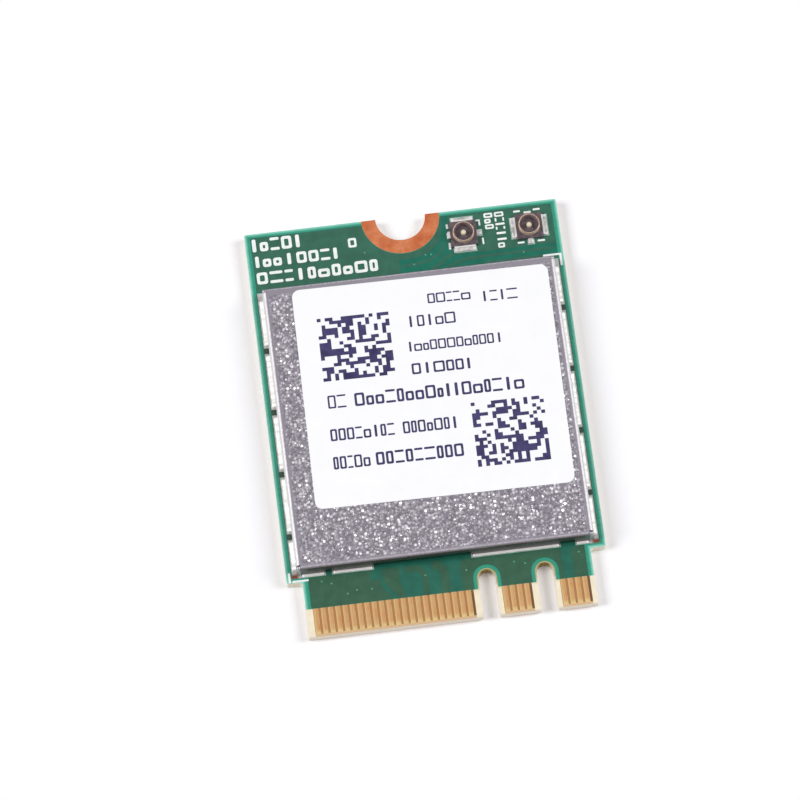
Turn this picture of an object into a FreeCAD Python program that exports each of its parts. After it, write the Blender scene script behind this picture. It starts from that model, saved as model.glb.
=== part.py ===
"""Plug-in wireless network card, 22 x 30 mm, with a folded shield can and two antenna connectors.

Millimetres, +Z up on the component side, +Y towards the screw notch, +X towards contact 1.
The origin is the middle of the card's underside.
"""
import FreeCAD
import Part
import math
import os

from FreeCAD import Vector

# Card outline
card_width = 22.0
card_length = 30.0
card_thickness = 0.80
shoulder_step = 1.075
tongue_length = 4.0
shoulder_radius = 0.27
corner_radius = 0.15
bevel_run = 0.12
bevel_angle = 30.0

# Copper and lacquer are one thin layer on each face of the laminate
layer_thickness = 0.03

# Key slots, measured from the card's middle line
slot_width = 1.2
slot_depth = 3.35
slot_lacquer_margin = 0.10
key_e_x = 2.625
key_a_x = 6.625

# Edge contacts
contact_pitch = 0.5
contact_width = 0.35
contact_side_margin = 0.45
top_contact_length = 1.85
bottom_contact_length = 2.35
contact_to_bevel = 0.03
contact_to_slot = 0.15

# Screw notch and its bare copper ring
notch_radius = 1.75
ring_width = 1.0

# Shield can: where it stands on the card, and its folded sheet
can_side_margin = 0.75
can_front_margin = 0.5
can_rear_margin = 4.7
can_sheet = 0.15
can_inner_bend = 0.10
can_headroom = 0.15
corner_relief = 0.05
foot_gap = 0.5
foot_gap_height = 0.5
foot_pitch = 4.6
left_foot_shift = -0.65
right_foot_shift = 0.0
rear_foot_shift = 0.0
front_left_gap_in = 2.2
front_right_gap_in = 1.8
front_right_gap = 1.1
trace_opening_x = -1.6
trace_opening_width = 6.8
trace_opening_height = 0.65

# Solder along the feet, and the lands below it
side_solder_width = 0.30
end_solder_width = 0.16
solder_height = 0.42
solder_end_margin = 0.06
solder_rim = 0.03
solder_hollow = 0.36
land_margin_out = 0.04
land_margin_in = 0.25
land_margin_end = 0.04

# Label, by its margins on the can
label_left_margin = 1.92
label_right_margin = 0.68
label_rear_margin = 0.53
label_front_margin = 4.01
label_thickness = 0.08
label_radius = 0.55
label_turn = -0.7

# Antenna connectors
antenna_side_margin = 2.12
antenna_ring_margin = 1.5
antenna_rear_margin = 1.88
antenna_1_turn = 90.0
antenna_2_turn = 0.0
port_radius = 0.75
port_wall = 0.09
port_height = 0.64
port_lip_bevel = 0.035
snap_depth = 0.04
snap_width = 0.09
snap_z = 0.365
housing_margin = 0.18
housing_cover = 0.03
well_floor = 0.08
tab_width = 1.50
tab_sheet = 0.10
tab_foot = 0.32
lead_gap = 0.02
rear_tab_width = 0.50
rear_tab_foot = 0.17
pin_radius = 0.18
pin_height = 0.52
pin_bevel = 0.07
lead_width = 0.36
lead_foot = 0.35
tab_land_margin = 0.06
tab_land_depth = 0.40

# Room between the can's walls and the parts under it
part_margin = 0.45

# Radio chip, a square leadless package
chip_front_shift = 1.3
chip_height = 0.85
chip_standoff = 0.02
chip_leads_per_side = 8
chip_lead_pitch = 0.65
chip_lead_width = 0.30
chip_lead_length = 0.40
chip_lead_height = 0.20
chip_corner = 0.725
chip_heat_gap = 0.5

# Amplifier and switch modules, one for each antenna
module_height = 0.60
module_lands_per_side = 3
module_land_pitch = 0.8
module_land_width = 0.30
module_land_length = 0.40
module_corner = 0.7
module_heat_gap = 0.3
module_spacing = 4.4

# Band filters, between each module and the rear wall
filter_length = 1.6
filter_width = 0.8
filter_height = 0.6
filter_to_module = 0.6

# Crystal
crystal_length = 3.2
crystal_width = 2.5
crystal_base_height = 0.35
crystal_lid_height = 0.35
crystal_lid_margin = 0.15
crystal_lid_radius = 0.30
crystal_land_length = 1.1
crystal_land_width = 0.9

# Settings memory
memory_width = 1.9
memory_height = 0.55
memory_lands_per_side = 4
memory_land_pitch = 0.65
memory_land_width = 0.30
memory_land_length = 0.45
memory_corner = 0.525

# Power inductors, in a column along the left wall
inductor_length = 2.5
inductor_width = 2.0
inductor_height = 1.0
inductor_end = 0.5
inductor_count = 2
inductor_pitch = 3.2

# Capacitors and resistors share one outline, in rows round the chip
passive_length = 1.0
passive_width = 0.5
passive_end = 0.22
passive_pitch = 1.6
passive_to_chip = 1.0
passive_row_pitch = 1.2
passives_in_row = 3
passives_in_column = 2
end_overhang = 0.015
capacitor_height = 0.5
resistor_height = 0.35

# Lands under the parts, and round test lands on the underside
land_overlap = 0.05
lacquer_clearance = 0.05
test_land_radius = 0.40
test_land_pitch = 1.6
test_land_columns = 2
test_land_rows = 2
test_land_side_margin = 4.4
test_land_y = 5.0

# Heights and places that follow from the sizes above
half_width = card_width / 2
half_tongue = half_width - shoulder_step
rear_y = card_length / 2
edge_y = -card_length / 2
shoulder_y = edge_y + tongue_length
slot_end_y = edge_y + slot_depth
face_z = card_thickness
laminate_low = layer_thickness
laminate_high = card_thickness - layer_thickness
top_layer = (laminate_high, face_z)
bottom_layer = (0, laminate_low)
bevel_drop = bevel_run * math.tan(math.radians(bevel_angle))
contact_end_y = edge_y + bevel_run + contact_to_bevel
top_lacquer_y = contact_end_y + top_contact_length
bottom_lacquer_y = contact_end_y + bottom_contact_length
contact_span = 2 * (half_tongue - contact_side_margin) - contact_width
ring_radius = notch_radius + ring_width

crystal_height = crystal_base_height + crystal_lid_height
tallest_part = max(
    chip_height,
    module_height,
    filter_height,
    crystal_height,
    memory_height,
    inductor_height,
    capacitor_height,
    resistor_height,
)
can_left = -half_width + can_side_margin
can_right = half_width - can_side_margin
can_front = shoulder_y + can_front_margin
can_rear = rear_y - can_rear_margin
can_ceiling_z = face_z + tallest_part + can_headroom
can_top_z = can_ceiling_z + can_sheet
can_outer_bend = can_inner_bend + can_sheet
corner_cut = can_outer_bend + corner_relief
room_left = can_left + can_sheet
room_right = can_right - can_sheet
room_front = can_front + can_sheet
room_rear = can_rear - can_sheet

antenna_2_x = half_width - antenna_side_margin
antenna_1_x = ring_radius + antenna_ring_margin
antenna_y = rear_y - antenna_rear_margin
port_bore = port_radius - port_wall
port_floor = tab_sheet + lead_gap
housing_half = port_radius + housing_margin
housing_height = port_floor + tab_sheet + housing_cover

chip_size = chip_lead_pitch * (chip_leads_per_side - 1) + 2 * chip_corner
chip_heat_pad = chip_size - 2 * (chip_lead_length + chip_heat_gap)
chip_x = (can_left + can_right) / 2
chip_y = (can_front + can_rear) / 2 - chip_front_shift
module_size = module_land_pitch * (module_lands_per_side - 1) + 2 * module_corner
module_heat_pad = module_size - 2 * (module_land_length + module_heat_gap)
memory_length = memory_land_pitch * (memory_lands_per_side - 1) + 2 * memory_corner
memory_x = room_right - part_margin - memory_width / 2
crystal_x = room_left + part_margin + crystal_length / 2
crystal_y = room_rear - part_margin - crystal_width / 2
inductor_x = room_left + part_margin + inductor_width / 2

filter_y = room_rear - part_margin - filter_width / 2
module_y = filter_y - filter_width / 2 - filter_to_module - module_size / 2
module_2_x = room_right - part_margin - module_size / 2
module_1_x = module_2_x - module_spacing

tiny = 1e-4


def box(x0, x1, y0, y1, z0, z1):
    """A block between two corners."""
    return Part.makeBox(x1 - x0, y1 - y0, z1 - z0, Vector(x0, y0, z0))


def block(x, y, size_x, size_y, z0, z1):
    """A block centred on a place of the card."""
    return box(x - size_x / 2, x + size_x / 2, y - size_y / 2, y + size_y / 2, z0, z1)


def pillar(x, y, radius, z0, z1):
    """An upright cylinder."""
    return Part.makeCylinder(radius, z1 - z0, Vector(x, y, z0))


def joined(shapes):
    """One shape from shapes that touch or overlap."""
    return shapes[0].fuse(shapes[1:]).removeSplitter()


def group(solids):
    """Separate solids kept together in one piece."""
    return Part.makeCompound(solids)


def upright_edges(shape, places):
    """The upright edges of a shape that stand at the given places."""
    found = []
    for edge in shape.Edges:
        span = edge.BoundBox
        upright = span.XLength < tiny and span.YLength < tiny
        if upright and any(math.hypot(span.XMin - x, span.YMin - y) < tiny for x, y in places):
            found.append(edge)
    return found


def edges_above(shape, z):
    """The edges of a shape that lie wholly at a height or above it."""
    return [edge for edge in shape.Edges if edge.BoundBox.ZMin > z - tiny]


def rounded_block(x, y, size_x, size_y, z0, z1, radius):
    """A block with its four upright edges rounded."""
    body = block(x, y, size_x, size_y, z0, z1)
    corners = [(x + i * size_x / 2, y + j * size_y / 2) for i in (-1, 1) for j in (-1, 1)]
    return body.makeFillet(radius, upright_edges(body, corners))


def turned(shape, x, y, turn):
    """A shape modelled at the origin, turned about Z and set on a place of the card."""
    placed = shape.copy()
    placed.rotate(Vector(0, 0, 0), Vector(0, 0, 1), turn)
    placed.translate(Vector(x, y, 0))
    return placed


def export(name, shape):
    """Write one piece."""
    shape.exportStep("parts/" + name + ".step")


# Card


def key_slots(margin, z0, z1):
    """Both round-ended key slots, widened all round by a margin."""
    cuts = []
    half = slot_width / 2 + margin
    round_y = slot_end_y - slot_width / 2
    for x in (key_e_x, key_a_x):
        cuts.append(box(x - half, x + half, edge_y, round_y, z0, z1))
        cuts.append(pillar(x, round_y, half, z0, z1))
    return cuts


def card_plate(z0, z1, slot_margin):
    """The card's outline as a plate: body, tongue, key slots and screw notch."""
    body = box(-half_width, half_width, shoulder_y, rear_y, z0, z1)
    tongue = box(-half_tongue, half_tongue, edge_y, shoulder_y, z0, z1)
    plate = joined([body, tongue])
    inner = [(side * half_tongue, shoulder_y) for side in (-1, 1)]
    plate = plate.makeFillet(shoulder_radius, upright_edges(plate, inner))
    outer = [(side * half_width, y) for side in (-1, 1) for y in (shoulder_y, rear_y)]
    plate = plate.makeFillet(corner_radius, upright_edges(plate, outer))
    notch = pillar(0, rear_y, notch_radius, z0, z1)
    return plate.cut([notch] + key_slots(slot_margin, z0, z1))


def edge_bevels():
    """Two wedges that lead the contact edge into its socket."""
    wedges = []
    for face, inward in ((laminate_high, -1), (laminate_low, 1)):
        points = [
            Vector(-half_width, edge_y, face),
            Vector(-half_width, edge_y + bevel_run, face),
            Vector(-half_width, edge_y, face + inward * bevel_drop),
        ]
        section = Part.Face(Part.makePolygon(points + points[:1]))
        wedges.append(section.extrude(Vector(card_width, 0, 0)))
    return wedges


def circuit_board():
    """The bare laminate."""
    return card_plate(laminate_low, laminate_high, 0).cut(edge_bevels())


def contact_places(gaps):
    """Middles of a row of contacts with so many gaps, less those that the key slots take."""
    places = [(i - gaps / 2) * contact_pitch for i in range(gaps + 1)]
    room = (slot_width + contact_width) / 2 + contact_to_slot
    return [x for x in places if all(abs(x - key) > room for key in (key_e_x, key_a_x))]


def contacts(gaps, length, layer):
    """One face's row of contacts."""
    middle = contact_end_y + length / 2
    return [block(x, middle, contact_width, length, *layer) for x in contact_places(gaps)]


def half_ring(z0, z1):
    """Bare copper round the screw notch."""
    disc = pillar(0, rear_y, ring_radius, z0, z1).cut(pillar(0, rear_y, notch_radius, z0, z1))
    return disc.common(box(-ring_radius, ring_radius, rear_y - ring_radius, rear_y, z0, z1))


def test_land_places():
    """Middles of the round test lands on the underside."""
    start_x = half_width - test_land_side_margin
    return [
        (start_x - i * test_land_pitch, test_land_y + j * test_land_pitch)
        for i in range(test_land_columns)
        for j in range(test_land_rows)
    ]


def lacquer(layer, edge_line_y, openings):
    """A lacquer coat that stops short of the contacts and is open at each land."""
    beyond = box(-half_width, half_width, edge_y, edge_line_y, *layer)
    ring = pillar(0, rear_y, ring_radius, *layer)
    return card_plate(*layer, slot_lacquer_margin).cut([beyond, ring] + openings)


# Shield can


def plain_gaps(start, end, shift):
    """Gaps between the feet of a plain wall, as (middle, width, height)."""
    count = int((end - start) / foot_pitch)
    first = (start + end - foot_pitch * (count - 1)) / 2 + shift
    return [(first + i * foot_pitch, foot_gap, foot_gap_height) for i in range(count)]


def feet(start, end, gaps):
    """Stretches of wall that reach the card, between the gaps."""
    stretches = []
    low = start
    for middle, width, height in gaps:
        stretches.append((low, middle - width / 2))
        low = middle + width / 2
    stretches.append((low, end))
    return stretches


side_start = can_front + corner_cut
side_end = can_rear - corner_cut
end_start = can_left + corner_cut
end_end = can_right - corner_cut
left_gaps = plain_gaps(side_start, side_end, left_foot_shift)
right_gaps = plain_gaps(side_start, side_end, right_foot_shift)
rear_gaps = plain_gaps(end_start, end_end, rear_foot_shift)
front_gaps = [
    (can_left + front_left_gap_in, foot_gap, foot_gap_height),
    (trace_opening_x, trace_opening_width, trace_opening_height),
    (can_right - front_right_gap_in, front_right_gap, foot_gap_height),
]


def shield_can():
    """A lid folded from one sheet: bent rim, open corners, walls cut into feet."""
    outer = box(can_left, can_right, can_front, can_rear, face_z, can_top_z)
    outer = outer.makeFillet(can_outer_bend, edges_above(outer, can_top_z))
    inner = box(room_left, room_right, room_front, room_rear, face_z, can_ceiling_z)
    inner = inner.makeFillet(can_inner_bend, edges_above(inner, can_ceiling_z))
    cuts = [inner]
    for x in (can_left, can_right - corner_cut):
        for y in (can_front, can_rear - corner_cut):
            cuts.append(box(x, x + corner_cut, y, y + corner_cut, face_z, can_top_z))
    reach = 2 * can_sheet
    for x, gaps in ((can_left, left_gaps), (can_right, right_gaps)):
        cuts += [block(x, y, reach, width, face_z, face_z + height) for y, width, height in gaps]
    for y, gaps in ((can_front, front_gaps), (can_rear, rear_gaps)):
        cuts += [block(x, y, width, reach, face_z, face_z + height) for x, width, height in gaps]
    return outer.cut(cuts)


def shield_lands():
    """Copper under the feet; the stretches that meet at a corner are one land."""
    x_left = can_left - side_solder_width - land_margin_out
    x_right = can_right + side_solder_width + land_margin_out
    y_front = can_front - end_solder_width - land_margin_out
    y_rear = can_rear + end_solder_width + land_margin_out
    strips = []
    for x0, x1, gaps in (
        (x_left, room_left + land_margin_in, left_gaps),
        (room_right - land_margin_in, x_right, right_gaps),
    ):
        for y0, y1 in feet(y_front + land_margin_end, y_rear - land_margin_end, gaps):
            strips.append(box(x0, x1, y0 - land_margin_end, y1 + land_margin_end, *top_layer))
    for y0, y1, gaps in (
        (y_front, room_front + land_margin_in, front_gaps),
        (room_rear - land_margin_in, y_rear, rear_gaps),
    ):
        for x0, x1 in feet(x_left + land_margin_end, x_right - land_margin_end, gaps):
            strips.append(box(x0 - land_margin_end, x1 + land_margin_end, y0, y1, *top_layer))
    return joined(strips).Solids


def solder_fillet(width, length):
    """A hollow-faced fillet along Y, against a wall at x = 0, resting on z = 0."""
    root = Vector(0, -length / 2, 0)
    toe = root + Vector(width, 0, 0)
    toe_rim = toe + Vector(0, 0, solder_rim)
    crest = root + Vector(0, 0, solder_height)
    crest_rim = crest + Vector(solder_rim, 0, 0)
    hollow = root + Vector(width * solder_hollow, 0, solder_height * solder_hollow)
    outline = [
        Part.LineSegment(root, toe).toShape(),
        Part.LineSegment(toe, toe_rim).toShape(),
        Part.Arc(toe_rim, hollow, crest_rim).toShape(),
        Part.LineSegment(crest_rim, crest).toShape(),
        Part.LineSegment(crest, root).toShape(),
    ]
    return Part.Face(Part.Wire(outline)).extrude(Vector(0, length, 0))


def shield_solder():
    """One fillet along the outside of each foot."""
    fillets = []
    for x, gaps, turn in ((can_right, right_gaps, 0), (can_left, left_gaps, 180)):
        for y0, y1 in feet(side_start, side_end, gaps):
            fillet = solder_fillet(side_solder_width, y1 - y0 - 2 * solder_end_margin)
            fillets.append(turned(fillet, x, (y0 + y1) / 2, turn))
    for y, gaps, turn in ((can_rear, rear_gaps, 90), (can_front, front_gaps, -90)):
        for x0, x1 in feet(end_start, end_end, gaps):
            fillet = solder_fillet(end_solder_width, x1 - x0 - 2 * solder_end_margin)
            fillets.append(turned(fillet, (x0 + x1) / 2, y, turn))
    for fillet in fillets:
        fillet.translate(Vector(0, 0, face_z))
    return fillets


def label():
    """A rounded label, stuck a little askew on the can."""
    x0 = can_left + label_left_margin
    x1 = can_right - label_right_margin
    y0 = can_front + label_front_margin
    y1 = can_rear - label_rear_margin
    top = can_top_z + label_thickness
    sheet = rounded_block(0, 0, x1 - x0, y1 - y0, can_top_z, top, label_radius)
    return turned(sheet, (x0 + x1) / 2, (y0 + y1) / 2, label_turn)


# Antenna connectors, modelled at the origin with the signal lead towards -Y


def port_barrel():
    """The turned barrel, with a snap groove outside and a bevelled lip."""
    low = face_z + port_floor
    high = face_z + port_height
    groove = face_z + snap_z
    points = [
        Vector(port_bore, 0, low),
        Vector(port_radius, 0, low),
        Vector(port_radius, 0, groove - snap_width / 2),
        Vector(port_radius - snap_depth, 0, groove),
        Vector(port_radius, 0, groove + snap_width / 2),
        Vector(port_radius, 0, high - port_lip_bevel),
        Vector(port_radius - port_lip_bevel, 0, high),
        Vector(port_bore + port_lip_bevel, 0, high),
        Vector(port_bore, 0, high - port_lip_bevel),
    ]
    section = Part.Face(Part.makePolygon(points + points[:1]))
    return section.revolve(Vector(0, 0, 0), Vector(0, 0, 1), 360)


def port_shell():
    """The barrel with two bent ground tabs and a short rear tab."""
    tab_low = face_z + port_floor
    tab_high = tab_low + tab_sheet
    start = port_radius - port_wall / 2
    knee = housing_half + tab_sheet
    rear_end = housing_half + rear_tab_foot
    tabs = [box(-rear_tab_width / 2, rear_tab_width / 2, start, rear_end, tab_low, tab_high)]
    for side in (-1, 1):
        for x_in, x_out, z0, z1 in (
            (start, knee, tab_low, tab_high),
            (housing_half, knee, face_z, tab_high),
            (housing_half, housing_half + tab_foot, face_z, face_z + tab_sheet),
        ):
            x0, x1 = sorted((side * x_in, side * x_out))
            tabs.append(box(x0, x1, -tab_width / 2, tab_width / 2, z0, z1))
    core = pillar(0, 0, port_bore, face_z, face_z + port_height)
    return joined([port_barrel()] + tabs).cut(core)


def port_contact():
    """The centre pin with a bevelled tip, on a flat lead that leaves below the barrel."""
    top = face_z + pin_height
    pin = pillar(0, 0, pin_radius, face_z, top)
    pin = pin.makeChamfer(pin_bevel, edges_above(pin, top))
    reach = housing_half + lead_foot
    lead = box(-lead_width / 2, lead_width / 2, -reach, 0, face_z, face_z + tab_sheet)
    return joined([pin, lead])


def port_insulator(shell, contact):
    """The moulded base that holds barrel and pin apart."""
    top = face_z + housing_height
    base = block(0, 0, 2 * housing_half, 2 * housing_half, face_z, top)
    well = pillar(0, 0, port_bore, face_z + port_floor + well_floor, top)
    return base.cut([well, shell, contact])


def antenna_lands():
    """Tinned lands under the tabs and leads of both connectors."""
    out = housing_half + tab_land_depth / 2
    ground_y = tab_width + 2 * tab_land_margin
    lead_x = lead_width + 2 * tab_land_margin
    lands = [
        block(-out, 0, tab_land_depth, ground_y, *top_layer),
        block(out, 0, tab_land_depth, ground_y, *top_layer),
        block(0, -out, lead_x, tab_land_depth, *top_layer),
    ]
    places = ((antenna_1_x, antenna_1_turn), (antenna_2_x, antenna_2_turn))
    return [turned(land, x, antenna_y, turn) for x, turn in places for land in lands]


# Parts under the can. Lands are (x, y, size x, size y), places are (x, y, turn).


def end_lands(length, width, end):
    """The two lands of a two-ended part."""
    x = (length - end) / 2
    size = end + 2 * land_overlap
    return [(side * x, 0, size, width + 2 * land_overlap) for side in (-1, 1)]


def side_lands(half, count, pitch, width, length, ganged):
    """Lands in two rows, inside the front and rear sides of a package; ganged, each row is one."""
    inward = half - length / 2
    span = pitch * (count - 1)
    if ganged:
        return [(0, side * inward, span + width, length) for side in (-1, 1)]
    middles = [i * pitch - span / 2 for i in range(count)]
    return [(x, side * inward, width, length) for x in middles for side in (-1, 1)]


def turned_lands(lands):
    """Lands turned by 90 degrees."""
    return [(-y, x, size_y, size_x) for x, y, size_x, size_y in lands]


def placed_lands(lands, places):
    """The lands of like parts at all their places."""
    placed = []
    for x, y, turn in places:
        own = turned_lands(lands) if turn == 90 else lands
        placed += [(x + u, y + v, size_u, size_v) for u, v, size_u, size_v in own]
    return placed


def chip_lands(ganged):
    """Lands along all four sides of the radio chip, with a heat pad in the middle."""
    rows = side_lands(
        chip_size / 2,
        chip_leads_per_side,
        chip_lead_pitch,
        chip_lead_width,
        chip_lead_length,
        ganged,
    )
    return rows + turned_lands(rows) + [(0, 0, chip_heat_pad, chip_heat_pad)]


def module_lands(ganged):
    """Lands along all four sides of a module, with a heat pad in the middle."""
    rows = side_lands(
        module_size / 2,
        module_lands_per_side,
        module_land_pitch,
        module_land_width,
        module_land_length,
        ganged,
    )
    return rows + turned_lands(rows) + [(0, 0, module_heat_pad, module_heat_pad)]


def memory_lands(ganged):
    """Two rows of lands under the settings memory."""
    return side_lands(
        memory_width / 2,
        memory_lands_per_side,
        memory_land_pitch,
        memory_land_width,
        memory_land_length,
        ganged,
    )


def crystal_lands():
    """One land under each corner of the crystal."""
    x = (crystal_length - crystal_land_length) / 2
    y = (crystal_width - crystal_land_width) / 2
    return [(i * x, j * y, crystal_land_length, crystal_land_width) for i in (-1, 1) for j in (-1, 1)]


def row(x, y, count, turn):
    """Places in a row centred on (x, y); parts that are turned stand in a column along Y."""
    steps = [(i - (count - 1) / 2) * passive_pitch for i in range(count)]
    if turn == 90:
        return [(x, y + step, turn) for step in steps]
    return [(x + step, y, turn) for step in steps]


chip_reach = chip_size / 2 + passive_to_chip
capacitor_places = (
    row(chip_x, chip_y + chip_reach, passives_in_row, 0)
    + row(chip_x, chip_y - chip_reach, passives_in_row, 0)
    + row(chip_x + chip_reach, chip_y, passives_in_column, 90)
)
resistor_places = (
    row(chip_x, chip_y - chip_reach - passive_row_pitch, passives_in_row, 0)
    + row(chip_x - chip_reach, chip_y, passives_in_column, 90)
)
inductor_places = [
    (inductor_x, chip_y + (i - (inductor_count - 1) / 2) * inductor_pitch, 90)
    for i in range(inductor_count)
]
module_places = [(module_1_x, module_y, 0), (module_2_x, module_y, 0)]
filter_places = [(module_1_x, filter_y, 0), (module_2_x, filter_y, 0)]
memory_places = [(memory_x, chip_y, 90)]


def hidden_lands(ganged):
    """All lands under the can; ganged, each row of lands of a package is one."""
    passive_lands = end_lands(passive_length, passive_width, passive_end)
    return (
        placed_lands(chip_lands(ganged), [(chip_x, chip_y, 0)])
        + placed_lands(module_lands(ganged), module_places)
        + placed_lands(end_lands(filter_length, filter_width, passive_end), filter_places)
        + placed_lands(memory_lands(ganged), memory_places)
        + placed_lands(crystal_lands(), [(crystal_x, crystal_y, 0)])
        + placed_lands(end_lands(inductor_length, inductor_width, inductor_end), inductor_places)
        + placed_lands(passive_lands, capacitor_places + resistor_places)
    )


def two_ended(places, length, width, height, end):
    """Bodies, and the metal caps on both their ends, of like parts at all their places."""
    low = face_z + end_overhang
    high = face_z + height - end_overhang
    body = block(0, 0, length - 2 * end, width - 2 * end_overhang, low, high)
    x = (length - end) / 2
    caps = [block(side * x, 0, end, width, face_z, face_z + height) for side in (-1, 1)]
    bodies = [turned(body, *place) for place in places]
    ends = [turned(cap, *place) for place in places for cap in caps]
    return bodies, ends


def packages(places, length, width, height):
    """Plain moulded packages at all their places."""
    body = block(0, 0, length, width, face_z, face_z + height)
    return [turned(body, *place) for place in places]


def radio_chip():
    """The moulded package, and the metal leads and heat pad let into its underside."""
    lead_top = face_z + chip_lead_height
    lands = placed_lands(chip_lands(False), [(chip_x, chip_y, 0)])
    leads = [block(*land, face_z, lead_top) for land in lands]
    low = face_z + chip_standoff
    package = block(chip_x, chip_y, chip_size, chip_size, low, face_z + chip_height)
    return package.cut(leads), leads


def crystal():
    """A ceramic base and the metal lid sealed to it."""
    base_top = face_z + crystal_base_height
    base = block(crystal_x, crystal_y, crystal_length, crystal_width, face_z, base_top)
    length = crystal_length - 2 * crystal_lid_margin
    width = crystal_width - 2 * crystal_lid_margin
    top = base_top + crystal_lid_height
    lid = rounded_block(crystal_x, crystal_y, length, width, base_top, top, crystal_lid_radius)
    return base, lid


# Write the pieces


def export_card():
    """The laminate with its bare copper and its two lacquer coats."""
    export("circuit_board", circuit_board())
    gaps = int(contact_span / contact_pitch)
    export("edge_contacts_top", group(contacts(gaps, top_contact_length, top_layer)))
    export("edge_contacts_bottom", group(contacts(gaps - 1, bottom_contact_length, bottom_layer)))
    export("ground_ring_top", half_ring(*top_layer))
    export("ground_ring_bottom", half_ring(*bottom_layer))
    can_lands = shield_lands()
    port_lands = antenna_lands()
    part_lands = [block(*land, *top_layer) for land in hidden_lands(False)]
    test_lands = [pillar(x, y, test_land_radius, *bottom_layer) for x, y in test_land_places()]
    export("shield_lands", group(can_lands))
    export("antenna_lands", group(port_lands))
    export("component_lands", group(part_lands))
    export("test_lands", group(test_lands))
    room = 2 * lacquer_clearance
    windows = [block(x, y, u + room, v + room, *top_layer) for x, y, u, v in hidden_lands(True)]
    export("solder_mask_top", lacquer(top_layer, top_lacquer_y, can_lands + port_lands + windows))
    export("solder_mask_bottom", lacquer(bottom_layer, bottom_lacquer_y, test_lands))


def export_shield():
    """The can, the solder that holds it and the label on it."""
    export("shield_can", shield_can())
    export("shield_solder", group(shield_solder()))
    export("label", label())


def export_antenna_ports():
    """Two like connectors, turned to suit their traces."""
    shell = port_shell()
    contact = port_contact()
    insulator = port_insulator(shell, contact)
    for name, x, turn in (
        ("antenna_1", antenna_1_x, antenna_1_turn),
        ("antenna_2", antenna_2_x, antenna_2_turn),
    ):
        export(name + "_shell", turned(shell, x, antenna_y, turn))
        export(name + "_contact", turned(contact, x, antenna_y, turn))
        export(name + "_insulator", turned(insulator, x, antenna_y, turn))


def export_hidden_parts():
    """What the can covers."""
    package, leads = radio_chip()
    export("radio_chip", package)
    export("radio_chip_leads", group(leads))
    export("front_end_modules", group(packages(module_places, module_size, module_size, module_height)))
    export("band_filters", group(packages(filter_places, filter_length, filter_width, filter_height)))
    export("settings_memory", packages(memory_places, memory_length, memory_width, memory_height)[0])
    base, lid = crystal()
    export("crystal_base", base)
    export("crystal_lid", lid)
    cores, caps = two_ended(inductor_places, inductor_length, inductor_width, inductor_height, inductor_end)
    export("power_inductors", group(cores))
    export("inductor_ends", group(caps))
    for name, places, height in (
        ("capacitor", capacitor_places, capacitor_height),
        ("resistor", resistor_places, resistor_height),
    ):
        bodies, caps = two_ended(places, passive_length, passive_width, height, passive_end)
        export(name + "s", group(bodies))
        export(name + "_ends", group(caps))


os.makedirs("parts", exist_ok=True)
export_card()
export_shield()
export_antenna_ports()
export_hidden_parts()
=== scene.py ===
"""Looks of a plug-in wireless card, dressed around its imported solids. Objects are in metres."""

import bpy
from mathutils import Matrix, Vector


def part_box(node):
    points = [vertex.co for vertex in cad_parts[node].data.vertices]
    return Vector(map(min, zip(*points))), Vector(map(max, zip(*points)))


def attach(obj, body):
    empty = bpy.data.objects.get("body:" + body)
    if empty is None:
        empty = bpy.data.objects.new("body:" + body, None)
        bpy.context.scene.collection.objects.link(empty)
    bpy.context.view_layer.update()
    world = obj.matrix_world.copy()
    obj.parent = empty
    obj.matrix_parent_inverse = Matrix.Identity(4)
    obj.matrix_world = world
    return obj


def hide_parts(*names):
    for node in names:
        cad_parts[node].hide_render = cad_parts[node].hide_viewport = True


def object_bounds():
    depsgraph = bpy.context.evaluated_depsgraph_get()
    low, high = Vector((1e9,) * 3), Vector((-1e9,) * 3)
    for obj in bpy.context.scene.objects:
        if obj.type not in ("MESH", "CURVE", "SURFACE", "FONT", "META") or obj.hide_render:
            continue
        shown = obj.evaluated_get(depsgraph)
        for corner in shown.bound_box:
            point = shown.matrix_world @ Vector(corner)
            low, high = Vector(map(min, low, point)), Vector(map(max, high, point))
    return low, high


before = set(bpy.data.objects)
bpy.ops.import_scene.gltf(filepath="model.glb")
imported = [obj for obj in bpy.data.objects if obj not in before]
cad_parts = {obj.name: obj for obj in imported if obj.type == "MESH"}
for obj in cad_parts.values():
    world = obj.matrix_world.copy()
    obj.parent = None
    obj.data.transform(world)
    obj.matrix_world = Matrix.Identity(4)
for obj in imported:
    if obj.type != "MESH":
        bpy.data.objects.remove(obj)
CAD_BOX = [list(corner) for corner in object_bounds()]

import math
import random

import bmesh
import bpy
from mathutils import Matrix, Vector, noise

bl_info = {
    "name": "Wireless Card",
    "version": (1, 0, 0),
    "blender": (4, 5, 0),
    "location": "View3D > Sidebar > Card",
    "description": "Builds the visible detail and the finishes of a plug-in wireless card",
    "category": "Add Mesh",
}

ROOT = "root"
SHADER = "Principled BSDF"

# In metres: a millimetre, the distance at which corners are one, and a reach past all of the card.
MM = 0.001
WELD = 2e-8
FAR = 1.0
ANYWHERE = (-FAR, FAR)


# Properties


def linear(screen):
    """Screen level from 0 to 255 as a linear value from 0 to 1."""
    screen /= 255
    return screen / 12.92 if screen <= 0.04045 else ((screen + 0.055) / 1.055) ** 2.4


def colour(name, description, *screen_levels):
    """Colour property whose default is written as it looks on screen."""
    default = [linear(screen) for screen in screen_levels]
    return bpy.props.FloatVectorProperty(
        name=name, description=description, subtype="COLOR", size=3, min=0.0, max=1.0, default=default
    )


def length(name, description, millimetres):
    """Length property whose default is written in millimetres."""
    return bpy.props.FloatProperty(
        name=name, description=description, unit="LENGTH", precision=6, default=millimetres * MM
    )


def angle(name, description, degrees):
    """Angle property whose default is written in degrees."""
    return bpy.props.FloatProperty(
        name=name, description=description, subtype="ANGLE", default=math.radians(degrees)
    )


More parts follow.
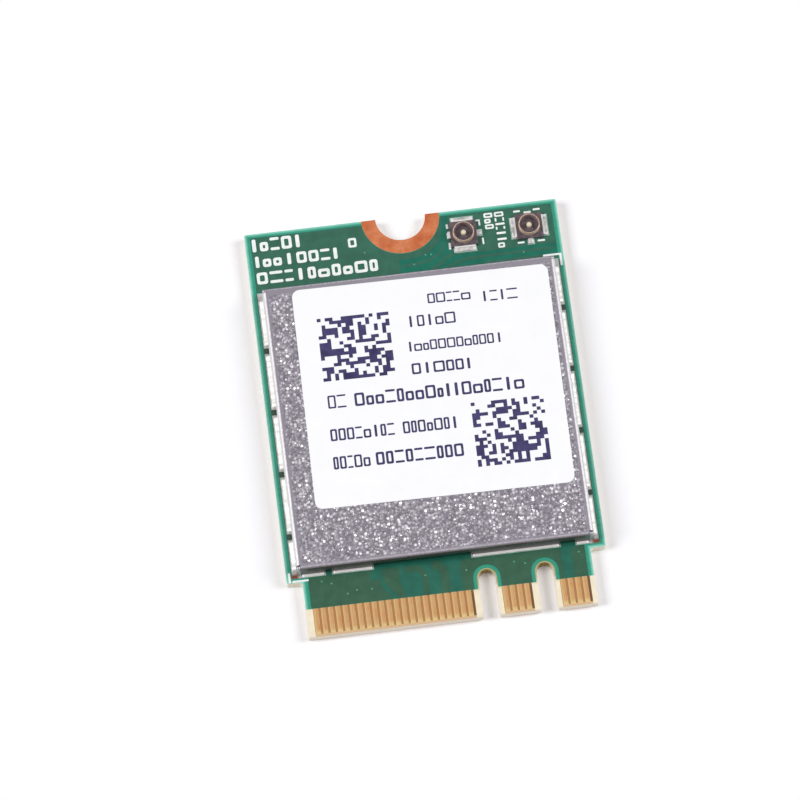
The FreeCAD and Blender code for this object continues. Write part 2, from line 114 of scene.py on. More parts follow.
def level(name, description, value):
    """Plain number property."""
    return bpy.props.FloatProperty(name=name, description=description, default=value)


class CardSizes(bpy.types.PropertyGroup):
    """Sizes of the detail that is laid over the card's solids."""

    tongue_half: length("Tongue half width", "Half the width of the plug-in tongue", 9.925)
    shoulder_y: length("Shoulder", "Where the tongue starts", -11.0)
    slot_left: length("Left key slot", "Centre of the left key slot", 2.625)
    slot_right: length("Right key slot", "Centre of the right key slot", 6.625)
    slot_width: length("Key slot width", "Width of a key slot", 1.2)
    slot_end: length("Key slot end", "Inner end of the key slots", -11.65)
    ring_radius: length("Ring radius", "Outer radius of the bare ring", 2.75)
    edge_band: length("Edge band", "Width of the lacquer with no copper under it", 0.38)
    rear_band: length("Rear band", "The same band along the card's rear edge", 0.30)
    slot_band: length("Slot band", "The same band round a key slot", 0.34)
    trace_rise: length("Trace rise", "How far copper lifts the lacquer", 0.010)
    print_rise: length("Print rise", "Thickness of the white print", 0.016)
    label_angle: angle("Label turn", "How far the label is turned on the can", -0.7)
    label_ink: length("Ink thickness", "Thickness of the label's print", 0.008)
    bead_wave: level("Bead unevenness", "How much the solder beads vary along a foot", 0.45)
    grain_cells: level("Grain", "Grains of the shield's plating per metre", 4200.0)


class CardColours(bpy.types.PropertyGroup):
    """Colours of the finishes, as they look under plain white light."""

    laminate_cut: colour("Laminate edge", "Cut edge of the laminate", 242, 232, 214)
    laminate_face: colour("Laminate face", "Bare face of the laminate", 247, 235, 208)
    laminate_rim: colour("Laminate rim", "Bare laminate between lacquer and slot", 178, 172, 118)
    # Painted shade: the key slots' routed end walls are darkened in colour for the shade that falls in them.
    laminate_slot_shade: colour("Laminate in a slot", "Routed wall at the end of a key slot", 138, 116, 62)
    # Painted shade: the laminate between the contacts is darkened for the shade in the narrow gaps.
    laminate_gap_shade: colour("Laminate gap", "Laminate between the contacts", 176, 124, 78)
    laminate_tip: colour("Laminate tip", "Bevel below the contacts", 216, 180, 138)
    # Painted shadow: a dark strip beside the last contact of each run.
    laminate_end_shadow: colour("Laminate end", "Laminate beside the last contact of a run", 112, 76, 46)
    # Partly painted light: pale thin lacquer at the edge, lightened further by a painted glow of light
    # through the laminate.
    lacquer_rim_glow: colour("Lacquer, rim", "Thin lacquer along the card's edge", 156, 226, 208)
    lacquer_edge: colour("Lacquer, bare", "Lacquer with no copper under it", 52, 156, 130)
    lacquer_field: colour("Lacquer, field", "Lacquer over the inner plane", 36, 103, 86)
    lacquer_field_rear: colour("Lacquer, rear field", "The same behind the shield", 22, 110, 91)
    lacquer_copper: colour("Lacquer, copper", "Lacquer over copper", 54, 96, 74)
    lacquer_copper_rear: colour("Lacquer, rear copper", "The same behind the shield", 53, 104, 86)
    # Painted shade: the lacquer between and beside the can's feet is darkened for the shade there.
    lacquer_shaded: colour("Lacquer, shaded", "Lacquer between the shield's feet", 66, 86, 78)
    via_cap: colour("Via cap", "Filled via under thin lacquer", 120, 160, 134)
    gold: colour("Contact gold", "Plating of the edge contacts", 240, 196, 136)
    gold_worn: colour("Contact gold, worn", "Worn plating", 220, 160, 106)
    # Painted highlight: the plating is lightened at the contacts' front ends and along their left edges.
    gold_highlight: colour("Contact gold, tip", "Plating rubbed bright at the contacts' ends", 250, 224, 160)
    copper: colour("Bare copper", "Rings and land edges", 240, 150, 104)
    copper_dull: colour("Bare copper, dull", "Tarnished copper", 208, 100, 50)
    copper_dark: colour("Bare copper, dark", "Copper beside the solder", 150, 84, 66)
    tin: colour("Tin", "Tinned lands and solder", 254, 253, 251)
    tin_dull: colour("Tin, dull", "Dull patches of tin", 242, 240, 238)
    tin_dark: colour("Tin, shaded", "Tin on slopes and thin tin on the lands", 172, 170, 166)
    # Partly painted light: the colour of the grains' painted sparkle, of the painted glints along the side
    # bends and of the painted line along the front bend.
    sheet: colour("Shield sheet", "Light grains of the shield's plating", 244, 239, 246)
    sheet_dark: colour("Shield sheet, dark", "Ground of the shield's plating", 191, 184, 197)
    # Painted light: the side walls and bends are a lighter copy of the plating, for the light from the sides.
    sheet_wall_lit: colour("Shield wall", "Side walls and bends of the shield", 222, 222, 218)
    # Painted shade: the front and rear walls are darkened in colour for the shade and the dark board they
    # face.
    sheet_front_shade: colour("Shield front", "Front and rear walls of the shield", 118, 112, 112)
    label: colour("Label", "Coated paper", 250, 250, 252)
    label_shade: colour("Label, fibre", "Paper fibre", 247, 247, 250)
    ink: colour("Ink", "Print on the label", 44, 38, 84)
    ink_worn: colour("Ink, thin", "Thin places of the print", 70, 64, 112)
    white_print: colour("White print", "Print on the lacquer", 251, 250, 252)
    white_print_thin: colour("White print, thin", "Thin places of the white print", 228, 238, 232)
    port_gold: colour("Port gold", "Plating of the antenna ports", 255, 234, 212)
    port_brown: colour("Port gold, dull", "Dull plating of the antenna ports", 226, 184, 150)
    port_pin: colour("Port pin", "Bright centre contact of a port", 255, 244, 212)
    port_inside: colour("Port, inside", "Shaded wall inside an antenna port", 132, 118, 134)
    mould: colour("Dark moulding", "Antenna port housing", 70, 60, 68)
    mould_worn: colour("Dark moulding, light", "Rubbed places of the moulding", 116, 101, 107)
    ceramic: colour("Pale ceramic", "Capacitor bodies", 176, 150, 118)
    ceramic_dark: colour("Pale ceramic, dark", "Fired patches", 148, 122, 92)
    ferrite: colour("Dark ceramic", "Inductor and resistor bodies", 58, 56, 58)
    ferrite_light: colour("Dark ceramic, light", "Ground patches", 84, 82, 82)
    lid: colour("Lid metal", "Crystal lid", 206, 202, 190)
    lid_dull: colour("Lid metal, dull", "Seam of the crystal lid", 160, 156, 146)
    floor: colour("Floor", "Paper that the card lies on", 253, 252, 255)
    floor_shade: colour("Floor, fibre", "Faint unevenness of the paper", 251, 250, 253)


class StageSettings(bpy.types.PropertyGroup):
    """Camera and light."""

    azimuth: angle("Camera azimuth", "Turn of the camera round the card", -5.508)
    elevation: angle("Camera elevation", "Height of the camera over the floor", 69.2)
    roll: angle("Camera roll", "Turn of the camera about its axis", -1.649)
    distance: length("Camera distance", "From the card's middle to the camera", 379.369)
    aim_right: length("Aim, right", "Aim beside the card's middle", -1.840)
    aim_up: length("Aim, up", "Aim above the card's middle", 1.364)
    lens: level("Lens", "Focal length in millimetres on a 36 mm sensor", 246.456)
    box_size: length("Softbox size", "Side of each softbox", 580.0)
    box_out: length("Softbox distance", "Sideways distance of each softbox", 900.0)
    box_up: length("Softbox height", "Height of each softbox", 850.0)
    left_power: level("Left softbox power", "Watts of the left softbox", 8.6)
    right_power: level("Right softbox power", "Watts of the right softbox", 7.25)
    ceiling: level("Ceiling", "Level of the even light from all round", 0.37)


def settings(context):
    return context.scene.card_sizes, context.scene.card_colours


# Outlines, in millimetres


def mm(metres):
    return metres / MM


def box_of(node):
    """Lowest and highest corners of a node."""
    return [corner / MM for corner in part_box(node)]


def rectangle(x0, y0, x1, y1):
    return [(x0, y0), (x1, y0), (x1, y1), (x0, y1)]


def arc(cx, cy, radius, start, stop, steps):
    """Points of an arc, angles in degrees."""
    points = []
    for i in range(steps + 1):
        turn = math.radians(start + (stop - start) * i / steps)
        points.append((cx + radius * math.cos(turn), cy + radius * math.sin(turn)))
    return points


def soft_rectangle(x0, y0, x1, y1, radius, steps=4):
    """Rectangle with round corners, which leave a short straight stretch on each side."""
    radius = min(radius, abs(x1 - x0) * 0.49, abs(y1 - y0) * 0.49)
    corners = (
        (x1 - radius, y0 + radius, -90),
        (x1 - radius, y1 - radius, 0),
        (x0 + radius, y1 - radius, 90),
        (x0 + radius, y0 + radius, 180),
    )
    return [point for x, y, start in corners for point in arc(x, y, radius, start, start + 90, steps)]


def ribbon(points, width):
    """Outline of a track of even width along the points."""
    left, right = [], []
    for i, (x, y) in enumerate(points):
        before = Vector(points[max(i - 1, 0)])
        after = Vector(points[min(i + 1, len(points) - 1)])
        along = (after - before).normalized()
        side = Vector((-along.y, along.x)) * width / 2
        left.append((x + side.x, y + side.y))
        right.append((x - side.x, y - side.y))
    return right + left[::-1]


def turned(loops, cx, cy, turn):
    """Outlines turned about the origin and set at a centre."""
    c, s = math.cos(turn), math.sin(turn)
    return [[(cx + x * c - y * s, cy + x * s + y * c) for x, y in loop] for loop in loops]


def cell_edges(cells):
    """Edges round the filled cells of a grid: the corners that follow each corner."""
    filled = [(i, j) for j, row in enumerate(cells) for i, cell in enumerate(row) if cell]
    known = set(filled)
    edges = {}
    for i, j in filled:
        sides = (
            ((i, j), (i + 1, j), (i, j - 1)),
            ((i + 1, j), (i + 1, j + 1), (i + 1, j)),
            ((i + 1, j + 1), (i, j + 1), (i, j + 1)),
            ((i, j + 1), (i, j), (i - 1, j)),
        )
        for start, stop, neighbour in sides:
            if neighbour not in known:
                edges.setdefault(start, []).append(stop)
    return edges


def cell_outlines(cells, x0, y0, width, height, inset):
    """Outlines round the filled cells of a grid, drawn in a little."""
    rows, columns = len(cells), len(cells[0])
    edges = cell_edges(cells)
    loops = []
    while edges:
        start = min(edges)
        corner, heading, steps = start, (0, 0), []
        while corner != start or not steps:
            # At a corner that two filled cells share, turn left so that the cells stay apart.
            ways = [((x - corner[0], y - corner[1]), (x, y)) for x, y in edges[corner]]
            turns = [heading[0] * y - heading[1] * x for (x, y), _ in ways]
            heading, following = ways[turns.index(max(turns))]
            edges[corner].remove(following)
            if not edges[corner]:
                del edges[corner]
            steps.append((corner, heading))
            corner = following
        outline = []
        for (_, before), ((i, j), after) in zip([steps[-1]] + steps[:-1], steps):
            if before != after:
                i -= (before[1] + after[1]) * inset
                j += (before[0] + after[0]) * inset
                outline.append((x0 + i * width / columns, y0 + j * height / rows))
        loops.append(outline)
    return loops


# Meshes


def plate(loops, low, high):
    """Closed plate between two heights; an outline inside another cuts a hole."""
    curve = bpy.data.curves.new("outline", "CURVE")
    curve.dimensions = "2D"
    curve.fill_mode = "BOTH"
    curve.extrude = (high - low) / 2
    for loop in loops:
        spline = curve.splines.new("POLY")
        spline.points.add(len(loop) - 1)
        for point, (x, y) in zip(spline.points, loop):
            point.co = (x, y, 0, 1)
        spline.use_cyclic_u = True
    holder = bpy.data.objects.new("outline", curve)
    mesh = bpy.data.meshes.new_from_object(holder)
    bpy.data.objects.remove(holder)
    bpy.data.curves.remove(curve)
    mesh.transform(Matrix.Scale(MM, 4) @ Matrix.Translation((0, 0, (low + high) / 2)))
    return mesh


def loft(sections):
    """Closed mesh through rings of points in millimetres, capped at both ends."""
    count = len(sections[0])
    points = [tuple(v * MM for v in point) for ring in sections for point in ring]
    faces = []
    for i in range(len(sections) - 1):
        a, b = i * count, (i + 1) * count
        for j in range(count):
            k = (j + 1) % count
            faces.append((a + j, a + k, b + k, b + j))
    faces.append(tuple(range(count))[::-1])
    faces.append(tuple(range(len(points) - count, len(points))))
    mesh = bpy.data.meshes.new("loft")
    mesh.from_pydata(points, [], faces)
    return mesh


def dome(cx, cy, base, half_x, half_y, height, seed, square=4.0, steps=20, rings=6, fall=0.55,
         uneven=0.10, tip=0.04, sunk=0.02):
    """Uneven drop that lies on a flat place, in millimetres; a small fall gives it steep sides."""
    sections = []
    for i in range(rings + 1):
        share = i / rings
        spread = math.cos(share * math.pi / 2) ** fall if i < rings else tip
        lift = height * math.sin(share * math.pi / 2)
        ring = []
        for j in range(steps):
            turn = 2 * math.pi * j / steps
            x, y = math.cos(turn), math.sin(turn)
            reach = spread * (abs(x) ** square + abs(y) ** square) ** (-1 / square)
            reach *= 1 + uneven * noise.noise(Vector((x * 1.7 + seed * 3.1, y * 1.7, share)))
            ring.append((cx + half_x * reach * x, cy + half_y * reach * y, base + lift))
        sections.append(ring)
    foot = [(x, y, base - sunk) for x, y, _ in sections[0]]
    return loft([foot] + sections)


def islands(node):
    """Lowest and highest corners, in millimetres, of each separate solid of a node."""
    mesh = bmesh.new()
    mesh.from_mesh(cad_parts[node].data)
    bmesh.ops.remove_doubles(mesh, verts=mesh.verts, dist=WELD)
    boxes, seen = [], set()
    for start in mesh.verts:
        if start in seen:
            continue
        stack, found = [start], []
        seen.add(start)
        while stack:
            vert = stack.pop()
            found.append(vert.co.copy())
            for edge in vert.link_edges:
                other = edge.other_vert(vert)
                if other not in seen:
                    seen.add(other)
                    stack.append(other)
        boxes.append([Vector(pick(p[k] for p in found) for k in range(3)) / MM for pick in (min, max)])
    mesh.free()
    return sorted(boxes, key=lambda box: (round(box[0].x, 3), round(box[0].y, 3)))


def piece(name, meshes, material, replaces=(), smooth=False):
    """One object of several meshes, riding on the card."""
    joined = bmesh.new()
    for mesh in meshes:
        joined.from_mesh(mesh)
        bpy.data.meshes.remove(mesh)
    bmesh.ops.remove_doubles(joined, verts=joined.verts, dist=WELD)
    bmesh.ops.recalc_face_normals(joined, faces=joined.faces)
    for face in joined.faces:
        face.smooth = smooth
    data = bpy.data.meshes.new(name)
    joined.to_mesh(data)
    joined.free()
    data.materials.append(material)
    made = bpy.data.objects.new(name, data)
    bpy.context.collection.objects.link(made)
    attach(made, ROOT)
    if replaces:
        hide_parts(*replaces)


def dress(material, *nodes):
    """Gives CAD nodes a finish."""
    for node in nodes:
        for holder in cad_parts[node].material_slots:
            holder.material = material


# Shader nodes


def feed(tree, socket, value):
    """Links a socket to another, or sets its value."""
    if isinstance(value, bpy.types.NodeSocket):
        tree.links.new(value, socket)
    elif hasattr(value, "__len__") and len(value) == 3 and socket.type == "RGBA":
        socket.default_value = (*value, 1.0)
    else:
        socket.default_value = value


def put(tree, kind, setup=None, **sockets):
    """Adds a node; a socket's name has _ for each space, and i0, i1 give its place."""
    made = tree.nodes.new("ShaderNode" + kind)
    for key, value in (setup or {}).items():
        setattr(made, key, value)
    for key, value in sockets.items():
        place = int(key[1:]) if key[1:].isdigit() else key.replace("_", " ")
        feed(tree, made.inputs[place], value)
    return made


def maths(tree, operation, first, second=0.0, third=0.0):
    return put(tree, "Math", {"operation": operation}, i0=first, i1=second, i2=third).outputs[0]


def vectors(tree, operation, first, second=(0, 0, 0)):
    made = put(tree, "VectorMath", {"operation": operation}, i0=first)
    feed(tree, made.inputs[3] if operation == "SCALE" else made.inputs[1], second)
    return made.outputs[0]


def mixed(tree, mask, first, second):
    """Colour between two colours, by a mask."""
    return put(tree, "Mix", {"data_type": "RGBA"}, i0=mask, i6=first, i7=second).outputs[2]


def varied(tree, mask, tone, share):
    """Colour that sinks to a share of itself where a mask ends."""
    return mixed(tree, mask, tuple(v * share for v in tone), tone)


def ramped(tree, value, low, high, bottom=0.0, top=1.0):
    """Value spread from one range to another, and held at its ends."""
    return put(tree, "MapRange", i0=value, i1=low, i2=high, i3=bottom, i4=top).outputs[0]


def spread(tree, mask, bottom, top):
    """Mask spread from one value to another."""
    return ramped(tree, mask, 0.0, 1.0, bottom, top)


def between(tree, value, rise, fall):
    """One between a rising and a falling ramp, each given by the ends of its slope."""
    return maths(tree, "MULTIPLY", ramped(tree, value, *rise), ramped(tree, value, *fall))


def bumped(tree, height, strength, distance=0.01 * MM):
    return put(tree, "Bump", Height=height, Strength=strength, Distance=distance).outputs[0]


def place_of(tree):
    return put(tree, "TexCoord").outputs["Object"]


def axes(tree, vector):
    return put(tree, "SeparateXYZ", Vector=vector).outputs


def drawn_noise(tree, scale, stretch):
    """Noise drawn out along the axes."""
    place = put(tree, "Mapping", Vector=place_of(tree), Scale=stretch).outputs[0]
    return put(tree, "TexNoise", Vector=place, Scale=scale, Detail=3.0).outputs["Fac"]


def new_effect(name, inputs, outputs):
    """Empty shader node group with named inputs and outputs."""
    tree = bpy.data.node_groups.new(name, "ShaderNodeTree")
    for title, value in inputs.items():
        socket = tree.interface.new_socket(title, in_out="INPUT", socket_type="NodeSocketFloat")
        socket.default_value = value
    for title, kind in outputs.items():
        tree.interface.new_socket(title, in_out="OUTPUT", socket_type="NodeSocket" + kind)
    return tree, tree.nodes.new("NodeGroupInput").outputs, tree.nodes.new("NodeGroupOutput").inputs


def mottle_effect():
    """Soft uneven patches."""
    tree, given, result = new_effect("mottle", {"Scale": 900.0}, {"Mask": "Float"})
    cloud = put(tree, "TexNoise", Vector=place_of(tree), Scale=given["Scale"], Detail=4.0, Roughness=0.6)
    feed(tree, result["Mask"], ramped(tree, cloud.outputs["Fac"], 0.32, 0.68))
    return tree


def grain_effect():
    """Matt ground under round grains of two sizes that each face a little another way, with a mask of the
    grains by which their sparkle is painted lighter.
    """
    outputs = {"Normal": "Vector", "Grains": "Float", "Ground": "Float"}
    tree, given, result = new_effect("coarse grain", {"Scale": 6000.0, "Tilt": 1.0}, outputs)
    place = place_of(tree)
    whole = put(tree, "NewGeometry").outputs["Normal"]
    bright = 0.0
    for finer, dull, lit, lean in ((1.0, 0.10, 0.80, 0.9), (1.7, 0.35, 1.0, 0.7)):
        scale = maths(tree, "MULTIPLY", given["Scale"], finer)
        cells = put(tree, "TexVoronoi", Vector=place, Scale=scale).outputs
        draw = put(tree, "SeparateColor", Color=cells["Color"]).outputs
        dots = ramped(tree, cells["Distance"], 0.62, 0.24)
        dots = maths(tree, "MULTIPLY", dots, ramped(tree, draw[0], dull, lit))
        dots = maths(tree, "MULTIPLY", dots, given["Tilt"])
        tilt = vectors(tree, "SCALE", vectors(tree, "SUBTRACT", cells["Color"], (0.5, 0.5, 0.5)), lean)
        whole = vectors(tree, "ADD", whole, vectors(tree, "SCALE", tilt, dots))
        bright = maths(tree, "MAXIMUM", dots, bright)
    feed(tree, result["Normal"], vectors(tree, "NORMALIZE", whole))
    feed(tree, result["Grains"], bright)
    feed(tree, result["Ground"], draw[1])
    return tree


def inside_effect():
    """One inside a rectangle on the card, falling to nothing at its rim."""
    limits = {"Low X": -0.01, "High X": 0.01, "Low Y": -0.01, "High Y": 0.01, "Width": 0.0004}
    tree, given, result = new_effect("inside", limits, {"Mask": "Float"})
    place = axes(tree, place_of(tree))
    gaps = []
    for axis, name in enumerate("XY"):
        past_low = maths(tree, "SUBTRACT", place[axis], given["Low " + name])
        past_high = maths(tree, "SUBTRACT", given["High " + name], place[axis])
        gaps.append(maths(tree, "MINIMUM", past_low, past_high))
    feed(tree, result["Mask"], ramped(tree, maths(tree, "MINIMUM", *gaps), 0.0, given["Width"]))
    return tree


def beyond_effect():
    """One outside an upright cylinder."""
    tree, given, result = new_effect("beyond", {"X": 0.0, "Y": 0.0, "Radius": 0.001}, {"Mask": "Float"})
    place = axes(tree, place_of(tree))
    across = maths(tree, "SUBTRACT", place[0], given["X"])
    along = maths(tree, "SUBTRACT", place[1], given["Y"])
    square = maths(tree, "MULTIPLY_ADD", across, across, maths(tree, "MULTIPLY", along, along))
    reach = maths(tree, "SUBTRACT", maths(tree, "SQRT", square), given["Radius"])
    feed(tree, result["Mask"], ramped(tree, reach, -0.04 * MM, 0.08 * MM))
    return tree


def facing_effect():
    """How far faces lie flat, and how far they look to the card's sides and to its ends."""
    tree, _, result = new_effect("facing", {}, {"Flat": "Float", "Sideways": "Float", "Endways": "Float"})
    normal = axes(tree, put(tree, "NewGeometry").outputs["Normal"])
    feed(tree, result["Flat"], ramped(tree, maths(tree, "ABSOLUTE", normal[2]), 0.75, 0.97))
    feed(tree, result["Sideways"], maths(tree, "ABSOLUTE", normal[0]))
    feed(tree, result["Endways"], maths(tree, "ABSOLUTE", normal[1]))
    return tree


def scratch_effect():
    """Fine lines along the card."""
    tree, given, result = new_effect("scratches", {"Scale": 9000.0}, {"Height": "Float"})
    feed(tree, result["Height"], drawn_noise(tree, given["Scale"], (1.0, 0.06, 1.0)))
    return tree


def layer_effect():
    """Pressed layers of glass cloth, seen on a cut edge."""
    tree, given, result = new_effect("layers", {"Scale": 3000.0}, {"Mask": "Float"})
    cloth = drawn_noise(tree, given["Scale"], (0.10, 0.10, 4.0))
    feed(tree, result["Mask"], ramped(tree, cloth, 0.35, 0.65))
    return tree


EFFECTS = {
    "mottle": mottle_effect,
    "coarse grain": grain_effect,
    "inside": inside_effect,
    "beyond": beyond_effect,
    "facing": facing_effect,
    "scratches": scratch_effect,
    "layers": layer_effect,
}


def effect(tree, name, **values):
    """Places a shared effect in a material and gives its outputs."""
    shared = bpy.data.node_groups.get(name) or EFFECTS[name]()
    made = tree.nodes.new("ShaderNodeGroup")
    made.node_tree = shared
    for key, value in values.items():
        feed(tree, made.inputs[key.replace("_", " ")], value)
    return made.outputs


def mottled(tree, scale):
    return effect(tree, "mottle", Scale=scale)["Mask"]


def inside(tree, across, along, width):
    """Mask of a rectangle, given by its ranges across and along the card, with a soft rim."""
    limits = {"Low_X": across[0], "High_X": across[1], "Low_Y": along[0], "High_Y": along[1]}
    return effect(tree, "inside", **limits, Width=width)["Mask"]


# Finishes


def new_finish(name):
    """Material with a lone shader, and its tree."""
    material = bpy.data.materials.new(name)
    material.use_nodes = True
    tree = material.node_tree
    tree.nodes.clear()
    shader = put(tree, "BsdfPrincipled", {"name": SHADER})
    tree.links.new(shader.outputs[0], put(tree, "OutputMaterial").inputs[0])
    return material, tree


def shade(material, **sockets):
    """Feeds the shader of a finish and gives the finish."""
    tree = material.node_tree
    for key, value in sockets.items():
        feed(tree, tree.nodes[SHADER].inputs[key.replace("_", " ")], value)
    return material


def uneven_finish(name, light, dark, scale, rough, metal=0.0, bump=0.15, fine=6.0, **sockets):
    """Finish whose colour and gloss both vary softly, with a fine bump."""
    material, tree = new_finish(name)
    grain = mottled(tree, scale * fine)
    return shade(
        material,
        Base_Color=mixed(tree, mottled(tree, scale), dark, light),
        Roughness=spread(tree, grain, *rough),
        Metallic=metal,
        Normal=bumped(tree, grain, bump),
        **sockets,
    )


# Room that a run of contacts takes beyond its first and its last contact, in millimetres.
RUN_BEFORE = Vector((0.05, 0.02, 0.0))
RUN_AFTER = Vector((0.19, 0.02, 0.0))
KEY_GAP = 0.4


def contact_runs(node):
    """Corners, in metres, round each run of contacts that no key slot parts."""
    runs = []
    for low, high in islands(node):
        if runs and low.x - runs[-1][1].x < KEY_GAP:
            runs[-1][1].x = high.x
        else:
            runs.append((low.copy(), high.copy()))
    return [((low - RUN_BEFORE) * MM, (high + RUN_AFTER) * MM) for low, high in runs]


def contact_share(tree, node):
    """Place across a contact and the gap beside it, from 0 to 1."""
    first, second = (box[0].x * MM for box in islands(node)[:2])
    offset = maths(tree, "SUBTRACT", axes(tree, place_of(tree))[0], first)
    return maths(tree, "FRACT", maths(tree, "DIVIDE", offset, second - first))


def laminate_finish(c, s):
    """Pressed glass cloth: pale layers on its edges, painted shade between the contacts and a painted shadow
    beside the last contact of each run, and painted shade on the key slots' end walls.
    """
    material, tree = new_finish("laminate")
    layers = effect(tree, "layers", Scale=3000.0)["Mask"]
    facing = effect(tree, "facing")
    soft = 0.03 * MM
    board_low, board_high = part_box("circuit_board")
    upper = ramped(tree, axes(tree, place_of(tree))[2], board_low.z, board_high.z)
    lower = maths(tree, "SUBTRACT", 1.0, upper)
    gaps, ends, tips = 0.0, 0.0, 0.0
    for node, side in (("edge_contacts_top", upper), ("edge_contacts_bottom", lower)):
        for low, high in contact_runs(node):
            # Painted shade between the contacts of each run, and a painted shadow beside its last contact.
            run = inside(tree, (low.x, high.x), (low.y, high.y), soft)
            last = inside(tree, (high.x - RUN_AFTER.x * MM, high.x), (low.y, high.y), soft)
            tip = inside(tree, (low.x, high.x), (-FAR, low.y + soft), soft)
            gaps = maths(tree, "MULTIPLY_ADD", run, side, gaps)
            ends = maths(tree, "MULTIPLY_ADD", last, side, ends)
            tips = maths(tree, "MULTIPLY_ADD", tip, side, tips)
    cut = varied(tree, layers, c.laminate_cut, 0.91)
    face = varied(tree, mottled(tree, 1800.0), c.laminate_face, 0.90)
    face = mixed(tree, gaps, face, c.laminate_gap_shade)
    face = mixed(tree, ends, face, c.laminate_end_shadow)
    width, end = s.slot_width, s.slot_end
    lacquer_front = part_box("solder_mask_top")[0].y
    for x in (s.slot_left, s.slot_right):
        near = (x - width * 0.55, x + width * 0.55)
        # Painted shade on the routed end wall of each key slot.
        wall = inside(tree, near, (end - width * 0.75, end + width), width * 0.3)
        rim = inside(tree, (x - width, x + width), (lacquer_front - 0.2 * MM, 0.0), 0.6 * MM)
        cut = mixed(tree, wall, cut, c.laminate_slot_shade)
        face = mixed(tree, rim, face, c.laminate_rim)
    bevel = maths(tree, "MULTIPLY", tips, ramped(tree, facing["Endways"], 0.98, 0.90))
    return shade(
        material,
        Base_Color=mixed(tree, bevel, mixed(tree, facing["Flat"], cut, face), c.laminate_tip),
        Roughness=spread(tree, layers, 0.75, 0.5),
        Normal=bumped(tree, layers, 0.3),
    )


def lacquered(material, tone, ripples):
    """Gives a finish the lacquer's gloss."""
    tree = material.node_tree
    return shade(
        material,
        Base_Color=tone,
        Roughness=spread(tree, ripples, 0.22, 0.36),
        Normal=bumped(tree, ripples, 0.10),
        IOR=1.48,
    )


def deepened(tree, tone):
    """Colour of lacquer that is a little uneven in depth."""
    return vectors(tree, "SCALE", tone, spread(tree, mottled(tree, 1100.0), 0.86, 1.12))


def lacquer_finish(name, tone, rear):
    """Glossy green lacquer of another colour behind the can."""
    material, tree = new_finish(name)
    behind = inside(tree, ANYWHERE, (0.0, FAR), 10 * MM)
    return lacquered(material, deepened(tree, mixed(tree, behind, tone, rear)), mottled(tree, 5500.0))


def on_card(tree, s, width):
    """Mask of the card and its tongue, falling to nothing along their edge."""
    low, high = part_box("circuit_board")
    card = inside(tree, (low.x, high.x), (s.shoulder_y, high.y), width)
    tongue = inside(tree, (-s.tongue_half, s.tongue_half), (low.y, high.y), width)
    return maths(tree, "MAXIMUM", card, tongue)


def rim_lacquer_finish(c, s):
    """Lacquer over bare laminate, paler along the card's edge, where a painted glow of light is added, and
    darkened beside the can's lands with painted shade.
    """
    material, tree = new_finish("lacquer_edge")
    patches = mottled(tree, 1600.0)
    low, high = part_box("shield_lands")
    margin = 0.11 * MM
    # Painted shade on the lacquer beside the can's lands.
    beside = inside(tree, (low.x - margin, high.x + margin), (low.y, high.y), margin)
    inner = mixed(tree, beside, varied(tree, patches, c.lacquer_edge, 0.88), c.lacquer_shaded)
    rim = varied(tree, patches, c.lacquer_rim_glow, 0.90)
    return lacquered(material, mixed(tree, on_card(tree, s, s.edge_band * 0.55), rim, inner), patches)


def underside_finish(c, s):
    """Lacquer of the lower face: a broad pour of copper with vias, and a track from each contact."""
    material, tree = new_finish("lacquer_underside")
    low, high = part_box("circuit_board")
    pads_low, pads_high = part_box("edge_contacts_bottom")
    band, soft = s.edge_band, 0.05 * MM
    pour = inside(tree, (low.x + band, high.x - band), (s.shoulder_y - band, high.y - band), soft)
    off_middle = maths(tree, "SUBTRACT", contact_share(tree, "edge_contacts_bottom"), 0.37)
    track = ramped(tree, maths(tree, "ABSOLUTE", off_middle), 0.26, 0.20)
    track = maths(tree, "MULTIPLY", track, inside(tree, (pads_low.x, pads_high.x), ANYWHERE, soft))
    spots = put(tree, "TexVoronoi", {"voronoi_dimensions": "2D"},
                Vector=place_of(tree), Scale=420.0, Randomness=0.45).outputs
    via = maths(tree, "MULTIPLY", ramped(tree, spots["Distance"], 0.060, 0.040), pour)
    lacquer = mixed(tree, maths(tree, "MAXIMUM", pour, track), c.lacquer_field, c.lacquer_copper)
    lacquer = deepened(tree, mixed(tree, via, lacquer, c.via_cap))
    # Pale thin lacquer with a painted glow of light along the card's edge, as on the upper face.
    tone = mixed(tree, on_card(tree, s, band), c.lacquer_rim_glow, lacquer)
    return lacquered(material, tone, mottled(tree, 5500.0))


def contact_finish(c):
    """Gold plating with fine lines where the card was pushed into its socket, and painted highlights at the
    contacts' front ends and left edges.
    """
    material, tree = new_finish("contact_gold")
    lines = effect(tree, "scratches", Scale=16000.0)["Height"]
    worn = ramped(tree, maths(tree, "MULTIPLY_ADD", mottled(tree, 1500.0), 0.3, lines), 0.42, 0.85)
    # Painted highlight at the contacts' front ends.
    tip = inside(tree, ANYWHERE, (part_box("edge_contacts_top")[0].y, FAR), 0.35 * MM)
    plating = mixed(tree, tip, c.gold_highlight, mixed(tree, worn, c.gold_worn, c.gold))
    # Painted highlight along each contact's left edge.
    painted = ramped(tree, contact_share(tree, "edge_contacts_top"), 0.05, 0.34, 0.55, 0.0)
    return shade(
        material,
        Base_Color=mixed(tree, painted, plating, c.gold_highlight),
        Metallic=0.72,
        Roughness=spread(tree, worn, 0.58, 0.42),
        Normal=bumped(tree, lines, 0.25),
    )


